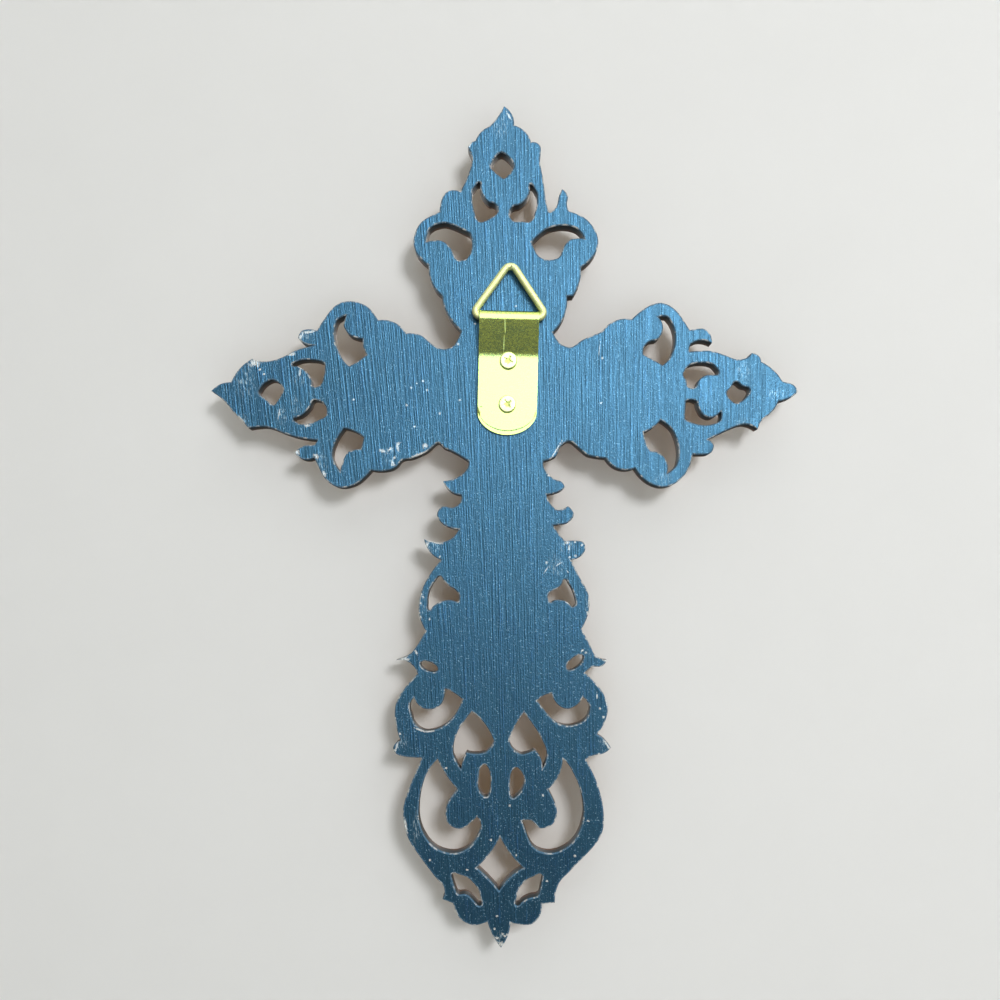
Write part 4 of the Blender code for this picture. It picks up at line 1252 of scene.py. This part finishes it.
# %% The brass finishes
CREASES = [(505.0, 328.5, 7.0, 0.55, 92), (503.9, 345.5, 8.0, 0.45, 88), (507.5, 397.5, 3.5, 0.5, 0)]
STRAP_MARKS = [(481.2, 407.6, 1.3, 0.5, 0)]
WIRE_SEAM = [(511.3, 269.6, 1.5, 0.45, 65)]
# The screw heads' recesses are painted darker olive: a painted shade where the cross recess lies in shade.
RECESS_SHADE = [(508.0, 362.6, 3.4, 2.8, 24), (507.3, 405.6, 3.0, 3.0, 0)]
DARK_OLIVE = (0.05, 0.06, 0.02)
FLECK = 0.38 * MM
TARNISH_PATCH = 6 * MM


def brass(
    name, tint, roughness, mottle, mottle_size, dulled,
    creases=(), marks_and_shade=(), mark_and_shade_tint=DARK_OLIVE, metal=1.0,
):
    """Bright brass: a tint, and a mottle that bends and dulls what it mirrors."""
    finish = Finish(name)
    worms = finish.noise(finish.place, mottle_size, detail=3, roughness=0.65, distortion=0.7)
    worm_lines = finish.step(finish.math("ABSOLUTE", finish.math("SUBTRACT", worms, 0.5)), 0.10, 0.0)
    flecks = finish.noise(finish.place, FLECK, detail=3, roughness=0.7)
    tarnish = finish.noise(finish.place, TARNISH_PATCH, detail=4)
    darker = colour(tint[0] * dulled, tint[1] * (dulled + 0.08), tint[2])
    tarnished = finish.weighed([(flecks, 0.75), (tarnish, 0.25)])
    shade = finish.mixed(finish.step(tarnished, 0.42, 0.56), darker, colour(*tint))
    rough = finish.step(worm_lines, 0, 1, low=roughness, high=roughness * 1.25)
    if creases:
        creased = finish.step(finish.near_ovals(creases), 1.4, 0.6, high=0.34)
        rough = finish.math("ADD", rough, creased)
    # Darker ovals: real marks on the strap and the wire, and on the screws a painted shade in the recess.
    if marks_and_shade:
        marked_and_shaded = finish.step(finish.near_ovals(marks_and_shade), 1.3, 0.7, high=0.85)
        shade = finish.mixed(marked_and_shaded, shade, colour(*mark_and_shade_tint))
    finish.set(Base_Color=shade, Metallic=metal, Roughness=rough)
    finish.bump(worm_lines, mottle)
    return finish


sheet_brass = brass(
    "rolled_brass_sheet", tint=(0.86, 0.99, 0.27), roughness=0.12, mottle=0.0030 * MM,
    mottle_size=0.6 * MM, dulled=0.60, creases=CREASES, marks_and_shade=STRAP_MARKS,
)
wire_brass = brass(
    "drawn_brass_wire", tint=(1.0, 0.97, 0.52), roughness=0.62, mottle=0.002 * MM,
    mottle_size=0.8 * MM, dulled=0.86, marks_and_shade=WIRE_SEAM,
)
# On the screws the darker olive recess ovals are painted shade.
screw_brass = brass(
    "plated_screw_head", tint=(0.90, 0.95, 0.42), roughness=0.36, mottle=0.002 * MM,
    mottle_size=0.6 * MM, dulled=0.90, marks_and_shade=RECESS_SHADE, mark_and_shade_tint=(0.42, 0.46, 0.10), metal=0.8,
)
brass_pieces = [(folded_strap, sheet_brass), (wire_ring, wire_brass)]
for piece, finish in brass_pieces + [(screw, screw_brass) for screw in screws.values()]:
    piece.data.materials.append(finish.material)

# %% [markdown]
# ## The studio
#
# In the photograph the cross lies on its carved face, and its shadow falls on what it lies on.
# Here that is a plain pale surface, just clear of the carving. It is seen from the cross's
# back alone, so that it doesn't hide the carving from the front. A pale floor lies below.

# %% Surface and floor
SURFACE_GAP = 0.4 * MM
FLOOR_DROP = 35 * MM
STAGE_SIDE = 3.0

surface_y = cad_low.y - SURFACE_GAP
floor_z = cad_low.z - FLOOR_DROP


def pale_finish(name, shade):
    """A matt and nearly even surface."""
    finish = Finish(name)
    mottle = finish.noise(finish.place, 30 * MM, detail=4)
    darker = [channel * 0.97 for channel in shade]
    finish.set(Base_Color=finish.mixed(mottle, colour(*darker), colour(*shade)), Roughness=0.9)
    finish.set(Specular_IOR_Level=0.1)
    return finish


surface = added(
    "pale_surface", bpy.ops.mesh.primitive_plane_add, size=STAGE_SIDE,
    location=(0, surface_y, floor_z + STAGE_SIDE / 2), rotation=(-math.pi / 2, 0, 0),
)
surface.visible_diffuse = False
surface.visible_glossy = False
surface.visible_shadow = False
pale = pale_finish("pale_surface", (0.82, 0.82, 0.82))
from_front = pale.add("NewGeometry").outputs["Backfacing"]
clear = pale.add("BsdfTransparent").outputs[0]
one_sided = pale.add("MixShader", from_front, pale.shader.outputs[0], clear)
pale.feed(pale.tree.nodes["Material Output"].inputs["Surface"], one_sided.outputs[0])
surface.data.materials.append(pale.material)

floor = added("pale_floor", bpy.ops.mesh.primitive_plane_add, size=STAGE_SIDE, location=(0, 0, floor_z))
floor.visible_glossy = False
floor.data.materials.append(pale_finish("pale_floor", (0.78, 0.785, 0.79)).material)

# %% [markdown]
# A small window to the upper right throws the shadows, and makes the sheen that is strongest on
# the right arm. It is two lamps in one place: one that only lights and casts shadows, and one
# that only glares, so that each has its own strength. A broad ceiling panel is seen in
# reflections alone, and is what the flat of the strap and the paint mirror. It ends just below
# the line of sight, so the strap's slope and the cross's foot mirror the room, which is dim
# overhead and darker below. Two more soft lights stand in front, for the carving.


# %% Lights
TO_WINDOW = (-0.35, 0.895, 0.28)
WHITE = (1.0, 1.0, 1.0)
LIGHTS = {
    # name: way from the crossing, distance, width, height, radiance, tint
    "window": (TO_WINDOW, 0.9, 0.24, 0.24, 22.0, WHITE),
    "window_glare": (TO_WINDOW, 0.9, 0.24, 0.24, 25.0, WHITE),
    "ceiling_panel": ((-0.227, 0.900, 0.374), 1.4, 1.37, 1.16, 2.05, (0.84, 0.98, 1.10)),
    "ceiling": ((-0.10, 0.40, 0.91), 1.3, 1.5, 1.1, 0.9, (0.97, 1.0, 1.0)),
    "front_left": ((-0.50, -0.80, 0.45), 1.0, 0.5, 0.5, 5.0, (1.0, 0.97, 0.93)),
    "front_right": ((0.65, -0.75, 0.20), 1.1, 0.6, 0.6, 2.0, (0.95, 0.98, 1.0)),
}


def soft_light(name, way, distance, width, height, radiance, tint):
    """A soft panel that faces the crossing, seen from it in a given direction."""
    place = CROSSING + Vector(way).normalized() * distance
    lamp = added(name, bpy.ops.object.light_add, type="AREA", location=place)
    lamp.rotation_euler = (lamp.location - CROSSING).to_track_quat("Z", "Y").to_euler()
    lamp.data.shape = "RECTANGLE"
    lamp.data.size = width
    lamp.data.size_y = height
    lamp.data.energy = radiance * math.pi * width * height
    lamp.data.color = tint
    return lamp


lamps = {name: soft_light(name, *light) for name, light in LIGHTS.items()}
lamps["window"].visible_glossy = False
lamps["window_glare"].visible_diffuse = False
lamps["ceiling_panel"].visible_diffuse = False
print("lights:", list(lamps))

# %% The dim room, which the camera sees as pale
DIM_BETWEEN = (-0.40, -0.18)
DIM_BELOW = colour(0.006, 0.010, 0.016)
DIM_ABOVE = colour(0.255, 0.256, 0.222)
PALE_SKY = colour(0.80, 0.82, 0.84)

world = bpy.data.worlds.new("dim_room")
bpy.context.scene.world = world
dim_room = Nodes(world)
height = dim_room.axis(dim_room.add("TexCoord").outputs["Generated"], "Z")
shade = dim_room.mixed(dim_room.step(height, *DIM_BETWEEN), DIM_BELOW, DIM_ABOVE)
dim = dim_room.tree.nodes["Background"]
dim_room.feed(dim.inputs["Color"], shade)
seen = dim_room.add("LightPath").outputs["Is Camera Ray"]
sky = dim_room.add("Background", PALE_SKY).outputs[0]
chosen = dim_room.add("MixShader", seen, dim.outputs[0], sky).outputs[0]
dim_room.feed(dim_room.tree.nodes["World Output"].inputs["Surface"], chosen)
bpy.context.scene.view_settings.view_transform = "Standard"

# %% [markdown]
# ## Join the pieces to the frame
#
# Each piece is listed with the body it moves with, the node of the frame it stands for, and the
# finish of the record it matches. It is joined to its body, and that node of the frame is hidden.
# Only the ring moves: it swings in the strap's fold.

# %% Join
for piece, body, node, slot in [
    (carved_cross, "cross", "cross", "painted_resin"),
    (folded_strap, "cross", "hanger_strap", "brass_sheet"),
    (wire_ring, "ring", "hanger_ring", "brass_wire"),
    (screws["upper_screw"], "cross", "upper_screw", "plated_screw"),
    (screws["lower_screw"], "cross", "lower_screw", "plated_screw"),
]:
    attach(piece, body)
    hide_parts(node)
